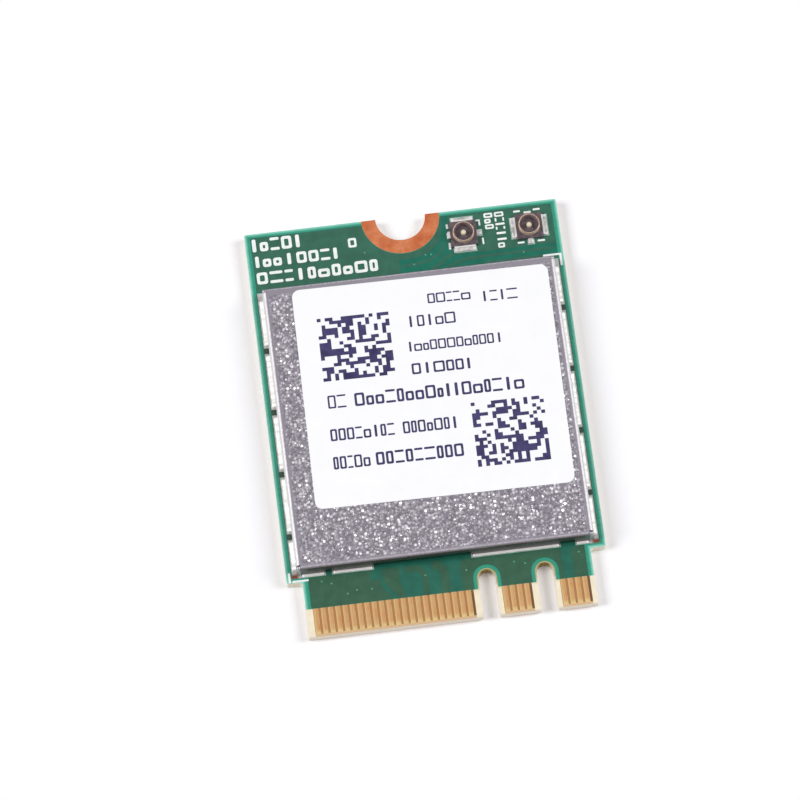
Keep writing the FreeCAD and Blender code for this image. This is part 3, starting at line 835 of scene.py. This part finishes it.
def land_finish(c):
    """Tinned lands whose copper shows at the card's corners."""
    material, tree = new_finish("land_tin")
    low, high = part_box("shield_can")
    soft = 0.2 * MM
    across = inside(tree, (low.x, high.x), ANYWHERE, soft)
    along = inside(tree, ANYWHERE, (low.y, FAR), soft)
    patches = mottled(tree, 2200.0)
    copper = varied(tree, patches, c.copper_dark, 0.8)
    tin = mixed(tree, patches, c.tin_dark, c.tin_dull)
    return shade(
        material,
        Base_Color=mixed(tree, maths(tree, "MAXIMUM", across, along), copper, tin),
        Metallic=0.5,
        Roughness=spread(tree, patches, 0.48, 0.30),
        Normal=bumped(tree, patches, 0.06),
    )


# Plain rim round the grains on the can's top: at its left, right, front and rear, in millimetres.
PLAIN_RIM = (0.36, 0.32, 0.22, 0.50)


def sheet_finish(c, s):
    """Bright plating: coarse grains on the can's top with painted sparkle, painted dotted glints along its
    side bends, a painted highlight line along its front bend, painted light on its side walls and painted
    shade on its front and rear walls.
    """
    material, tree = new_finish("shield_sheet")
    low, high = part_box("shield_can")
    left, right, front, rear = (rim * MM for rim in PLAIN_RIM)
    middle = inside(tree, (low.x + left, high.x - right), (low.y + front, high.y - rear), 0.18 * MM)
    facing = effect(tree, "facing")
    sideways, endways = facing["Sideways"], facing["Endways"]
    strength = maths(tree, "MULTIPLY_ADD", maths(tree, "MULTIPLY", middle, facing["Flat"]), 0.97, 0.03)
    grain = effect(tree, "coarse grain", Scale=s.grain_cells, Tilt=strength)
    uneven = maths(tree, "MULTIPLY", strength, spread(tree, grain["Ground"], -0.34, 0.10))
    ground = vectors(tree, "SCALE", c.sheet_dark, maths(tree, "ADD", uneven, 1.0))
    # Painted light: the side walls take a lighter copy of the plating.
    wall = ramped(tree, sideways, 0.30, 0.60)
    ground = mixed(tree, wall, ground, c.sheet_wall_lit)
    # Painted shade on the front and rear walls.
    ground = mixed(tree, ramped(tree, endways, 0.60, 0.90), ground, c.sheet_front_shade)
    patches = mottled(tree, 5200.0)
    glint = between(tree, sideways, (0.04, 0.12), (0.66, 0.46))
    glint = maths(tree, "MULTIPLY", glint, ramped(tree, patches, 0.2, 0.6, 0.55, 1.0))
    # Painted highlight line along the front bend.
    line = between(tree, endways, (0.12, 0.30), (0.70, 0.50))
    line = maths(tree, "MULTIPLY", line, ramped(tree, patches, 0.1, 0.8, 0.15, 0.50))
    # The grains' painted sparkle, the glints and the line all lighten the colour.
    bright = maths(tree, "MAXIMUM", maths(tree, "MAXIMUM", grain["Grains"], glint), line)
    return shade(
        material,
        Base_Color=mixed(tree, bright, ground, c.sheet),
        Metallic=maths(tree, "MULTIPLY", spread(tree, wall, 0.86, 0.45), spread(tree, bright, 1.0, 0.34)),
        Roughness=spread(tree, strength, 0.38, 0.30),
        Normal=grain["Normal"],
    )


def solder_finish(c):
    """Smooth solder, white on its crown and mirror-like on its slopes."""
    material, tree = new_finish("solder")
    crown = ramped(tree, effect(tree, "facing")["Flat"], 0.1, 0.7)
    patches = mottled(tree, 1300.0)
    return shade(
        material,
        Base_Color=mixed(tree, patches, c.tin_dull, c.tin),
        Metallic=spread(tree, crown, 0.55, 0.35),
        Roughness=spread(tree, patches, 0.50, 0.40),
    )


# Radii of an antenna port in millimetres: its pin, its socket, the crest of its rim and its tin.
PORT_RADII = (0.30, 0.66, 0.625, 0.745, 0.88)


def port_finish(name, c, node):
    """Gold plating, dark inside the socket, with a round rim, that ends in tin on the soldered tabs."""
    material, tree = new_finish(name)
    middle = sum(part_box(node), Vector()) / 2
    pin, rim, rise, fall, tinned = (
        effect(tree, "beyond", X=middle.x, Y=middle.y, Radius=radius * MM)["Mask"] for radius in PORT_RADII
    )
    patches = mottled(tree, 2600.0)
    plating = mixed(tree, pin, c.port_pin, mixed(tree, patches, c.port_brown, c.port_gold))
    plating = mixed(tree, maths(tree, "SUBTRACT", pin, rim), plating, c.port_inside)
    return shade(
        material,
        Base_Color=mixed(tree, tinned, plating, mixed(tree, patches, c.tin_dull, c.tin)),
        Metallic=spread(tree, pin, 0.35, 0.28),
        Roughness=spread(tree, patches, 0.32, 0.20),
        Normal=bumped(tree, maths(tree, "SUBTRACT", rise, fall), 1.0, 0.06 * MM),
    )


# Lacquer and print outlines, in millimetres


def slot_outline(s, front, band):
    """Outline round both key slots from right to left, at a distance from their walls."""
    points = []
    radius = mm(s.slot_width) / 2 + band
    middle = mm(s.slot_end) - mm(s.slot_width) / 2
    for x in (mm(s.slot_right), mm(s.slot_left)):
        points += [(x + radius, front)] + arc(x, middle, radius, 0, 180, 16) + [(x - radius, front)]
    return points


def foot_line(y, left, right, inward, reach=0.2, clear=0.03, depth=0.6):
    """Line beside the can's lands from left to right, going in under the can between them."""
    points, last = [(left, y)], None
    for low, high in islands("shield_lands"):
        if min(abs(low.y - y), abs(high.y - y)) > reach or high.x < left or low.x > right:
            continue
        if last is not None and low.x - last > reach:
            start, stop, under = last + clear, low.x - clear, y + inward * depth
            points += [(start, y), (start, under), (stop, under), (stop, y)]
        last = high.x
    return points + [(right, y)]


def side_gaps(touch=0.01, depth=0.8, clear=0.02):
    """Rectangles of lacquer between the can's lands along both sides."""
    gaps = []
    for side, corner in zip((-1, 1), box_of("shield_lands")):
        outer = corner.x
        runs = [box for box in islands("shield_lands") if min(abs(end.x - outer) for end in box) < touch]
        runs.sort(key=lambda box: box[0].y)
        x0, x1 = sorted((outer, outer - side * depth))
        for (_, before), (after, _) in zip(runs, runs[1:]):
            gaps.append(rectangle(x0, before.y + clear, x1, after.y - clear))
    return gaps


MARK_KINDS = ("open", "open", "bars", "low", "post")
HOLLOW_FROM = 2.6


def open_mark(x0, y0, x1, y1, stroke):
    """Block that is hollow where it is wide enough."""
    loops = [soft_rectangle(x0, y0, x1, y1, stroke * 0.8)]
    if x1 - x0 > stroke * HOLLOW_FROM:
        loops.append(soft_rectangle(x0 + stroke, y0 + stroke, x1 - stroke, y1 - stroke, stroke * 0.4))
    return loops


def print_marks(x0, y0, x1, y1, count, stroke, seed):
    """A row of plain blocks, bars and open squares in place of words."""
    draw = random.Random(seed)
    shares = [draw.uniform(0.75, 1.2) for _ in range(count)]
    pitch = (x1 - x0) / sum(shares)
    loops, x = [], x0
    for share in shares:
        left, right = x + stroke * 0.35, x + share * pitch - stroke * 0.35
        x += share * pitch
        kind = draw.choice(MARK_KINDS)
        if kind == "open" and right - left > stroke * HOLLOW_FROM:
            loops += open_mark(left, y0, right, y1, stroke)
        elif kind == "bars":
            loops += [soft_rectangle(left, y, right, y + stroke, stroke * 0.4) for y in (y0, y1 - stroke)]
        elif kind == "low":
            loops += open_mark(left, y0, right, y0 + (y1 - y0) * 0.72, stroke)
        else:
            middle, half = (left + right) / 2, stroke * 0.65
            loops.append(soft_rectangle(middle - half, y0, middle + half, y1, stroke * 0.5))
    return loops


def print_rows(rows, seed):
    """Rows of marks, each with its corners, its count of marks and their stroke."""
    return [loop for i, row in enumerate(rows) for loop in print_marks(*row, seed + i)]


def code_block(x0, y0, x1, y1, seed, cells=18, dark=0.52, inset=0.03):
    """A square of seeded dark cells that says nothing."""
    draw = random.Random(seed)
    grid = [[draw.random() < dark for _ in range(cells)] for _ in range(cells)]
    return cell_outlines(grid, x0, y0, x1 - x0, y1 - y0, inset)


# Operators; their own sizes are in millimetres


class CARD_OT_laminate(bpy.types.Operator):
    """Finishes the laminate"""

    bl_idname = "card.laminate"
    bl_label = "Laminate"

    def execute(self, context):
        s, c = settings(context)
        dress(laminate_finish(c, s), "circuit_board")
        return {"FINISHED"}


class CARD_OT_lacquer(bpy.types.Operator):
    """Lacquers both faces, and lifts the lacquer where copper lies under it"""

    bl_idname = "card.lacquer"
    bl_label = "Lacquer"

    sunk = 0.001
    field_rise = 0.003
    field_gap = 0.03
    front_inset = 0.01
    land_gap = 0.04
    track_gap = 0.05
    track_inset = 0.02
    via_radius = 0.075
    via_height = 0.018
    vias = (
        (-7.97, -11.35), (-6.95, -12.21), (-5.27, -12.07), (-6.29, -12.03), (-1.53, -11.56),
        (1.30, -11.54), (-8.62, -11.12), (4.61, -11.35), (5.35, -11.55), (9.10, -11.19),
        (8.27, 11.27), (-2.78, 12.63), (1.43, 11.93), (1.81, 11.91), (0.56, 11.30),
    )

    def execute(self, context):
        s, c = settings(context)
        dress(rim_lacquer_finish(c, s), "solder_mask_top")
        dress(underside_finish(c, s), "solder_mask_bottom")
        self.card = box_of("circuit_board")[1]
        self.mask_low, mask_high = box_of("solder_mask_top")
        self.lands_low, self.lands_high = box_of("shield_lands")
        low, high, gap = mask_high.z - self.sunk, mask_high.z + mm(s.trace_rise), self.land_gap
        holes = [rectangle(a.x - gap, a.y - gap, b.x + gap, b.y + gap) for a, b in islands("antenna_lands")]
        fields = ([self.rear_outline(s)] + holes, [self.front_outline(s)])
        self.lay("lacquer_field", fields, low, mask_high.z + self.field_rise,
                 lacquer_finish("lacquer_field", c.lacquer_field, c.lacquer_field_rear))
        self.lay("lacquer_over_copper", self.tracks(s, holes), low, high,
                 lacquer_finish("lacquer_copper", c.lacquer_copper, c.lacquer_copper_rear))
        # Painted shade: dark lacquer laid between the can's feet along its sides.
        self.lay("lacquer_in_gaps", [[outline] for outline in side_gaps()], low, high,
                 lacquer_finish("lacquer_shaded", c.lacquer_shaded, c.lacquer_shaded))
        size = (self.via_radius, self.via_radius, self.via_height)
        caps = [dome(x, y, mask_high.z, *size, i, 2.0, 12, 3) for i, (x, y) in enumerate(self.vias)]
        cap_finish = uneven_finish("via_cap", c.via_cap, c.lacquer_edge, 4000.0, (0.2, 0.35))
        piece("via_caps", caps, cap_finish, smooth=True)
        return {"FINISHED"}

    def lay(self, name, areas, low, high, finish):
        piece(name, [plate(loops, low, high) for loops in areas], finish)

    def ring(self, s, gap, y):
        """Arc of the bare ring, from right to left, ending at a height."""
        radius = mm(s.ring_radius) + gap
        start = math.degrees(math.asin((y - self.card.y) / radius))
        return arc(0, self.card.y, radius, start, -180 - start, 32)

    def rear_outline(self, s):
        side = self.card.x - mm(s.edge_band)
        end = self.card.y - mm(s.rear_band)
        line = foot_line(self.lands_high.y + self.field_gap, -side, side, -1)
        return line + [(side, end)] + self.ring(s, self.field_gap, end) + [(-side, end)]

    def front_outline(self, s):
        edge = mm(s.tongue_half) - mm(s.edge_band)
        front = self.mask_low.y + self.front_inset
        line = foot_line(self.lands_low.y - self.field_gap, -edge, edge, 1)
        return line + [(edge, front)] + slot_outline(s, front, mm(s.slot_band)) + [(-edge, front)]

    def tracks(self, s, holes):
        """Outlines of the copper under the lacquer, each with its holes."""
        return self.rear_tracks(s, holes) + self.front_tracks(s)

    def rear_tracks(self, s, holes):
        side = self.card.x - mm(s.edge_band) - self.track_inset
        end = self.card.y - mm(s.rear_band) - self.track_inset
        start = self.lands_high.y + self.track_gap
        pour = [(-side, start), (-0.45, start), (-0.45, 11.74), (0.61, 11.79), (1.47, 11.93), (1.95, 12.31),
                (2.33, 12.63), (2.56, 12.85), (2.72, 13.45), (2.86, 14.02), (2.90, end)]
        pour += self.ring(s, self.track_gap, end) + [(-side, end)]
        ports = [(3.30, end), (3.12, 13.6), (3.00, 12.9), (3.10, 12.3), (3.30, 11.85), (3.70, 11.68),
                 (side, 11.68), (side, end)]
        to_ring = [(2.90, 12.66), (2.69, 12.29), (2.40, 11.85), (2.0, 11.65), (1.58, 11.48), (0.72, 11.32),
                   (-0.38, 11.26)]
        to_port = [(3.44, 11.74), (2.80, 11.52), (2.49, 11.22), (2.12, 10.98), (1.76, 10.78)]
        to_side = [(10.4, 11.36), (4.45, 11.30), (3.83, 11.16), (3.12, 10.90), (2.62, 10.74)]
        return [
            [pour],
            [ports] + holes,
            [ribbon(to_ring, 0.20)],
            [ribbon(to_port, 0.24)],
            [ribbon(to_side, 0.20)],
            [rectangle(5.4, start, side, 10.92)],
        ]

    def front_tracks(self, s):
        edge = mm(s.tongue_half) - mm(s.edge_band) - self.track_inset
        low = self.mask_low.y + self.track_inset
        high = self.lands_low.y - self.track_gap
        left = [(-edge, low), (-3.9, low), (-4.4, -12.3), (-4.62, -11.9), (-4.62, -11.5), (-5.3, -11.45),
                (-5.3, -11.05), (-4.95, high), (-edge, high)]
        beside_left = [(-3.5, low), (-2.95, low), (-3.35, -11.7), (-3.25, high), (-4.45, high),
                       (-4.42, -11.6)]
        narrow = [(-2.95, -10.98), (-2.2, -10.98), (-1.85, -11.1), (-1.63, -11.4), (-1.55, -11.8),
                  (-1.52, -12.3), (-1.65, low)]
        broad = [(-1.0, -10.88), (-0.6, -10.95), (-0.3, -11.25), (-0.2, -11.7), (-0.22, -12.4), (-0.3, low)]
        by_slots = [(0.92, low), (0.92, -11.1), (1.25, high), (7.82, high), (7.82, low)]
        by_slots += slot_outline(s, low, mm(s.slot_band) + self.track_inset)
        right = [(8.62, low), (edge, low), (edge, high), (8.78, high), (8.62, -11.2)]
        return [[left], [beside_left], [ribbon(narrow, 0.40)], [ribbon(broad, 0.60)], [by_slots], [right]]


class CARD_OT_contacts(bpy.types.Operator):
    """Plates the edge contacts, the rings round the screw notch and the bare lands"""

    bl_idname = "card.contacts"
    bl_label = "Contacts and rings"

    def execute(self, context):
        _, c = settings(context)
        copper = uneven_finish("bare_copper", c.copper, c.copper_dull, 900.0, (0.40, 0.58), 0.6, 0.2)
        dress(contact_finish(c), "edge_contacts_top", "edge_contacts_bottom")
        dress(copper, "ground_ring_top", "ground_ring_bottom", "test_lands")
        dress(land_finish(c), "shield_lands", "antenna_lands", "component_lands")
        return {"FINISHED"}


class CARD_OT_shield(bpy.types.Operator):
    """Finishes the shield can and runs an uneven solder bead along each of its feet"""

    bl_idname = "card.shield"
    bl_label = "Shield and solder"

    fill_half = 0.155
    fill_share = 0.95
    bead_step = 0.06
    bead_end = 0.15
    knot_place = 0.22
    knot_half = 0.16
    into_wall = 0.012
    into_land = 0.006
    front_share = 0.35
    # Slope of a bead from the can outward, as shares of its width and of its crown's height.
    slope = (
        (0.06, 1.30), (0.16, 1.14), (0.34, 1.04), (0.56, 0.92),
        (0.74, 0.76), (0.86, 0.60), (0.94, 0.42), (0.99, 0.20),
    )

    def execute(self, context):
        s, c = settings(context)
        dress(sheet_finish(c, s), "shield_can")
        beads = [self.bead(*box, s.bead_wave, i) for i, box in enumerate(islands("shield_solder"))]
        piece("solder_beads", beads, solder_finish(c), ["shield_solder"], smooth=True)
        low, high = box_of("shield_can")
        half, base = self.fill_half, box_of("shield_lands")[1].z
        size = (half, half, (high.z - base) * self.fill_share)
        corners = [(x, y) for x in (low.x + half, high.x - half) for y in (low.y + half, high.y - half)]
        fills = [dome(x, y, base, *size, i, 6.0, 16, 10, 0.12) for i, (x, y) in enumerate(corners)]
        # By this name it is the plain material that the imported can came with, not the finish made above.
        plain = bpy.data.materials["shield_sheet"]
        piece("corner_fills", fills, plain, smooth=True)
        return {"FINISHED"}

    def bead(self, low, high, wave, seed):
        """Uneven fillet between a foot of the can and its land, rounded off at both ends."""
        on_side = high.y - low.y > high.x - low.x
        across, along = (0, 1) if on_side else (1, 0)
        can_low, can_high = box_of("shield_can")
        outward, wall = (-1, can_low[across]) if low[across] + high[across] < 0 else (1, can_high[across])
        start, run = low[along], high[along] - low[along]
        width, tall = high[across] - low[across], (high.z - low.z) * (1.0 if on_side else self.front_share)
        count = max(8, int(run / self.bead_step))
        sections = []
        for i in range(count + 1):
            place = start + run * i / count
            ring = []
            for out, up in self.profile(place, min(i, count - i) / count * run, width, tall, wave, seed):
                point = Vector((0.0, 0.0, low.z + up))
                point[across], point[along] = wall + outward * out, place
                ring.append(point)
            sections.append(ring)
        return loft(sections)

    def profile(self, place, from_end, width, tall, wave, seed):
        """Section of a bead, outward and up, which is lower at its ends and has a knot near each."""
        closing = 0.40 + 0.60 * math.sin(min(1.0, from_end / self.bead_end) * math.pi / 2)
        knot = math.exp(-((from_end - self.knot_place) / self.knot_half) ** 2)
        ripple = noise.noise(Vector((place * 1.3, seed * 5.7, 0.3)))
        small = noise.noise(Vector((place * 4.1, seed * 3.3, 7.9)))
        uneven = 0.14 * wave * ripple + 0.05 * small + 0.08 * knot
        out = width * (0.72 + 0.28 * closing) * min(1.0, 0.94 + uneven)
        crown = tall * closing * (0.34 + uneven)
        points = [(-self.into_wall, -self.into_land), (-self.into_wall, crown + tall * 0.22 * closing)]
        points += [(out * far, crown * up) for far, up in self.slope]
        return points + [(out, -self.into_land)]


class CARD_OT_label(bpy.types.Operator):
    """Lays the printed label on the can"""

    bl_idname = "card.label"
    bl_label = "Label"

    corner_radius = 0.55
    ink_sunk = 0.002
    ink_below_top = 0.001
    rows = (
        (0.35, 6.09, 3.42, 6.82, 5, 0.11), (4.02, 5.80, 6.68, 6.58, 4, 0.11),
        (-1.36, 4.47, 2.20, 5.30, 5, 0.12), (-1.42, 2.66, 5.33, 3.40, 12, 0.11),
        (-1.32, 0.96, 2.98, 1.77, 6, 0.14), (-7.34, -0.90, -6.0, 0.06, 2, 0.12),
        (-5.5, -0.92, 6.38, 0.05, 17, 0.16), (-7.42, -3.30, -2.9, -2.42, 8, 0.13),
        (-2.4, -3.30, 1.54, -2.42, 7, 0.13), (-7.43, -5.38, -4.8, -4.46, 5, 0.13),
        (-4.5, -5.38, 1.66, -4.44, 9, 0.16),
    )
    blocks = ((-7.43, 1.11, -2.42, 5.82), (2.46, -6.32, 7.51, -1.57))
    row_seed = 40
    block_seed = 7

    def execute(self, context):
        s, c = settings(context)
        low, high = box_of("label")
        middle, span = (low + high) / 2, high - low
        # The label's own width and length, from the box round it when it is turned.
        cosine, sine = math.cos(s.label_angle), abs(math.sin(s.label_angle))
        squares = cosine ** 2 - sine ** 2
        half_x = (span.x * cosine - span.y * sine) / squares / 2
        half_y = (span.y * cosine - span.x * sine) / squares / 2
        outline = [soft_rectangle(-half_x, -half_y, half_x, half_y, self.corner_radius, 8)]
        marks = print_rows(self.rows, self.row_seed)
        for i, block in enumerate(self.blocks):
            marks += code_block(*block, self.block_seed + i)
        outline, marks = (turned(loops, middle.x, middle.y, s.label_angle) for loops in (outline, marks))
        top = high.z - mm(s.label_ink)
        paper = uneven_finish("label_sheet", c.label, c.label_shade, 700.0, (0.60, 0.72), bump=0.12,
                              Specular_IOR_Level=0.3)
        ink = uneven_finish("label_ink", c.ink_worn, c.ink, 1500.0, (0.4, 0.55), bump=0.1)
        piece("label_sheet", [plate(outline, low.z, top)], paper, ["label"])
        print_plate = plate(marks, top - self.ink_sunk, high.z - self.ink_below_top)
        piece("label_print", [print_plate], ink)
        return {"FINISHED"}


class CARD_OT_ports(bpy.types.Operator):
    """Finishes the two antenna ports and solders their tabs"""

    bl_idname = "card.ports"
    bl_label = "Antenna ports"

    drop_height = 0.13
    drop_inset = 0.03

    def execute(self, context):
        _, c = settings(context)
        mould = uneven_finish("port_mould", c.mould_worn, c.mould, 3000.0, (0.3, 0.5), bump=0.2)
        tin = uneven_finish("port_solder", c.tin, c.tin_dark, 2400.0, (0.30, 0.40), 0.30, 0.0, fine=1.5)
        for number in "12":
            port = f"antenna_{number}_"
            dress(mould, port + "insulator")
            plating = port_finish(f"port_plating_{number}", c, port + "insulator")
            dress(plating, port + "shell", port + "contact")
        drops = []
        for i, (low, high) in enumerate(islands("antenna_lands")):
            middle, half = (low + high) / 2, (high - low) / 2
            size = (half.x - self.drop_inset, half.y - self.drop_inset, self.drop_height)
            drops.append(dome(middle.x, middle.y, high.z, *size, i, 5.0, 28))
        piece("port_solder", drops, tin, smooth=True)
        return {"FINISHED"}


class CARD_OT_white_print(bpy.types.Operator):
    """Prints the white marks on the lacquer"""

    bl_idname = "card.white_print"
    bl_label = "White print"

    rows = (
        (-10.72, 13.62, -7.0, 14.58, 5, 0.21), (-3.90, 13.12, -3.2, 14.1, 1, 0.16),
        (-10.62, 12.42, -4.5, 13.27, 8, 0.20), (-10.55, 11.16, -1.9, 12.04, 10, 0.21),
    )
    row_seed = 80
    dashes = (
        (3.10, 13.66, 3.26, 14.02), (3.08, 12.90, 3.24, 13.36), (3.12, 12.10, 3.28, 12.60),
        (5.20, 13.98, 5.52, 14.10), (5.40, 13.64, 5.52, 13.97), (5.50, 12.20, 5.62, 12.70),
        (7.92, 14.30, 8.40, 14.44), (9.30, 14.30, 9.80, 14.44), (7.94, 11.92, 8.42, 12.06),
        (9.34, 11.92, 9.86, 12.06), (9.56, 10.74, 10.70, 10.88), (10.70, 9.94, 10.86, 10.88),
        (-10.60, -10.98, -9.48, -10.84), (-10.86, -10.98, -10.70, -10.25),
    )
    dash_round = 0.05
    columns = ((5.82, 13.25, 6.44, 14.55), (6.56, 11.75, 7.22, 14.55))
    column_pitch = 0.42
    column_stroke = 0.12
    sunk = 0.002

    def execute(self, context):
        s, c = settings(context)
        face = box_of("solder_mask_top")[1].z
        loops = print_rows(self.rows, self.row_seed)
        loops += [soft_rectangle(*dash, self.dash_round) for dash in self.dashes]
        for x0, y0, x1, y1 in self.columns:
            count = round((y1 - y0) / self.column_pitch)
            lying = print_marks(y0, x0, y1, x1, count, self.column_stroke, int(y1 * 10))
            loops += [[(y, x) for x, y in loop][::-1] for loop in lying]
        white = uneven_finish("white_print", c.white_print, c.white_print_thin, 3000.0, (0.5, 0.65), bump=0.2)
        rise = mm(s.trace_rise) + mm(s.print_rise)
        piece("white_print", [plate(loops, face - self.sunk, face + rise)], white)
        return {"FINISHED"}


class CARD_OT_hidden_parts(bpy.types.Operator):
    """Finishes the components under the can"""

    bl_idname = "card.hidden_parts"
    bl_label = "Components under the can"

    def execute(self, context):
        _, c = settings(context)
        mould = uneven_finish("package_mould", c.mould_worn, c.mould, 1800.0, (0.5, 0.7), bump=0.3)
        tin = uneven_finish("end_tin", c.tin, c.tin_dull, 2600.0, (0.28, 0.45), 1.0, 0.3)
        pale = uneven_finish("pale_ceramic", c.ceramic, c.ceramic_dark, 2400.0, (0.45, 0.6), bump=0.25)
        dark = uneven_finish("dark_ceramic", c.ferrite_light, c.ferrite, 2400.0, (0.5, 0.7), bump=0.3)
        lid = uneven_finish("lid_metal", c.lid, c.lid_dull, 1500.0, (0.25, 0.4), 1.0, 0.2)
        dress(mould, "radio_chip", "front_end_modules", "settings_memory")
        dress(tin, "radio_chip_leads", "capacitor_ends", "resistor_ends", "inductor_ends")
        dress(pale, "capacitors", "band_filters", "crystal_base")
        dress(dark, "resistors", "power_inductors")
        dress(lid, "crystal_lid")
        return {"FINISHED"}


class CARD_OT_stage(bpy.types.Operator):
    """Sets the floor, the two softboxes, the even light and the camera"""

    bl_idname = "card.stage"
    bl_label = "Stage"

    floor_half = 4000.0
    floor_drop = 0.01
    sensor_width = 36.0
    nearest = 10.0

    def execute(self, context):
        scene, stage = context.scene, context.scene.card_stage
        scene.view_settings.view_transform = "Standard"
        self.floor(context)
        self.softbox(context, "softbox_left", -stage.box_out, stage.left_power)
        self.softbox(context, "softbox_right", stage.box_out, stage.right_power)
        world = bpy.data.worlds.new("even_light")
        world.use_nodes = True
        world.node_tree.nodes["Background"].inputs["Color"].default_value = (stage.ceiling,) * 3 + (1.0,)
        scene.world = world
        self.camera(context, stage)
        return {"FINISHED"}

    def floor(self, context):
        colours = context.scene.card_colours
        mesh = bmesh.new()
        bmesh.ops.create_grid(mesh, x_segments=8, y_segments=8, size=self.floor_half * MM)
        data = bpy.data.meshes.new("floor")
        mesh.to_mesh(data)
        mesh.free()
        paper = uneven_finish("floor_paper", colours.floor, colours.floor_shade, 20.0, (0.8, 0.9), bump=0.0,
                              Specular_IOR_Level=0.0)
        data.materials.append(paper)
        floor = bpy.data.objects.new("floor", data)
        floor.location = (0, 0, CAD_BOX[0][2] - self.floor_drop * MM)
        context.collection.objects.link(floor)

    def softbox(self, context, name, out, power):
        """Square lamp at a height, turned to the card."""
        lamp = bpy.data.lights.new(name, "AREA")
        lamp.shape = "SQUARE"
        lamp.size = context.scene.card_stage.box_size
        lamp.energy = power
        holder = bpy.data.objects.new(name, lamp)
        holder.location = (out, 0.0, context.scene.card_stage.box_up)
        holder.rotation_euler = (-holder.location).to_track_quat("-Z", "Y").to_euler()
        context.collection.objects.link(holder)

    def camera(self, context, stage):
        az, el, roll = stage.azimuth, stage.elevation, stage.roll
        back = Vector((math.cos(el) * math.sin(az), -math.cos(el) * math.cos(az), math.sin(el)))
        level_right = Vector((math.cos(az), math.sin(az), 0.0))
        level_up = back.cross(level_right)
        right = level_right * math.cos(roll) + level_up * math.sin(roll)
        up = level_up * math.cos(roll) - level_right * math.sin(roll)
        lens = bpy.data.cameras.new("camera")
        lens.sensor_width = self.sensor_width
        lens.lens = stage.lens
        lens.clip_start = self.nearest * MM
        holder = bpy.data.objects.new("camera", lens)
        spot = back * stage.distance + right * stage.aim_right + up * stage.aim_up
        holder.matrix_world = Matrix.Translation(spot) @ Matrix((right, up, back)).transposed().to_4x4()
        context.collection.objects.link(holder)
        context.scene.camera = holder


OPERATORS = (
    CARD_OT_laminate, CARD_OT_lacquer, CARD_OT_contacts, CARD_OT_shield, CARD_OT_label,
    CARD_OT_ports, CARD_OT_white_print, CARD_OT_hidden_parts, CARD_OT_stage,
)


class CARD_PT_panel(bpy.types.Panel):
    """Lists the steps that dress the card"""

    bl_idname = "CARD_PT_panel"
    bl_label = "Wireless Card"
    bl_space_type = "VIEW_3D"
    bl_region_type = "UI"
    bl_category = "Card"

    def draw(self, context):
        for step in OPERATORS:
            self.layout.operator(step.bl_idname)


CLASSES = (CardSizes, CardColours, StageSettings) + OPERATORS + (CARD_PT_panel,)


def register():
    for made in CLASSES:
        bpy.utils.register_class(made)
    bpy.types.Scene.card_sizes = bpy.props.PointerProperty(type=CardSizes)
    bpy.types.Scene.card_colours = bpy.props.PointerProperty(type=CardColours)
    bpy.types.Scene.card_stage = bpy.props.PointerProperty(type=StageSettings)


def unregister():
    del bpy.types.Scene.card_stage
    del bpy.types.Scene.card_colours
    del bpy.types.Scene.card_sizes
    for made in reversed(CLASSES):
        bpy.utils.unregister_class(made)


def main():
    register()
    for step in OPERATORS:
        group, name = step.bl_idname.split(".")
        getattr(getattr(bpy.ops, group), name)()
    bpy.context.view_layer.update()


if __name__ == "__main__":
    main()
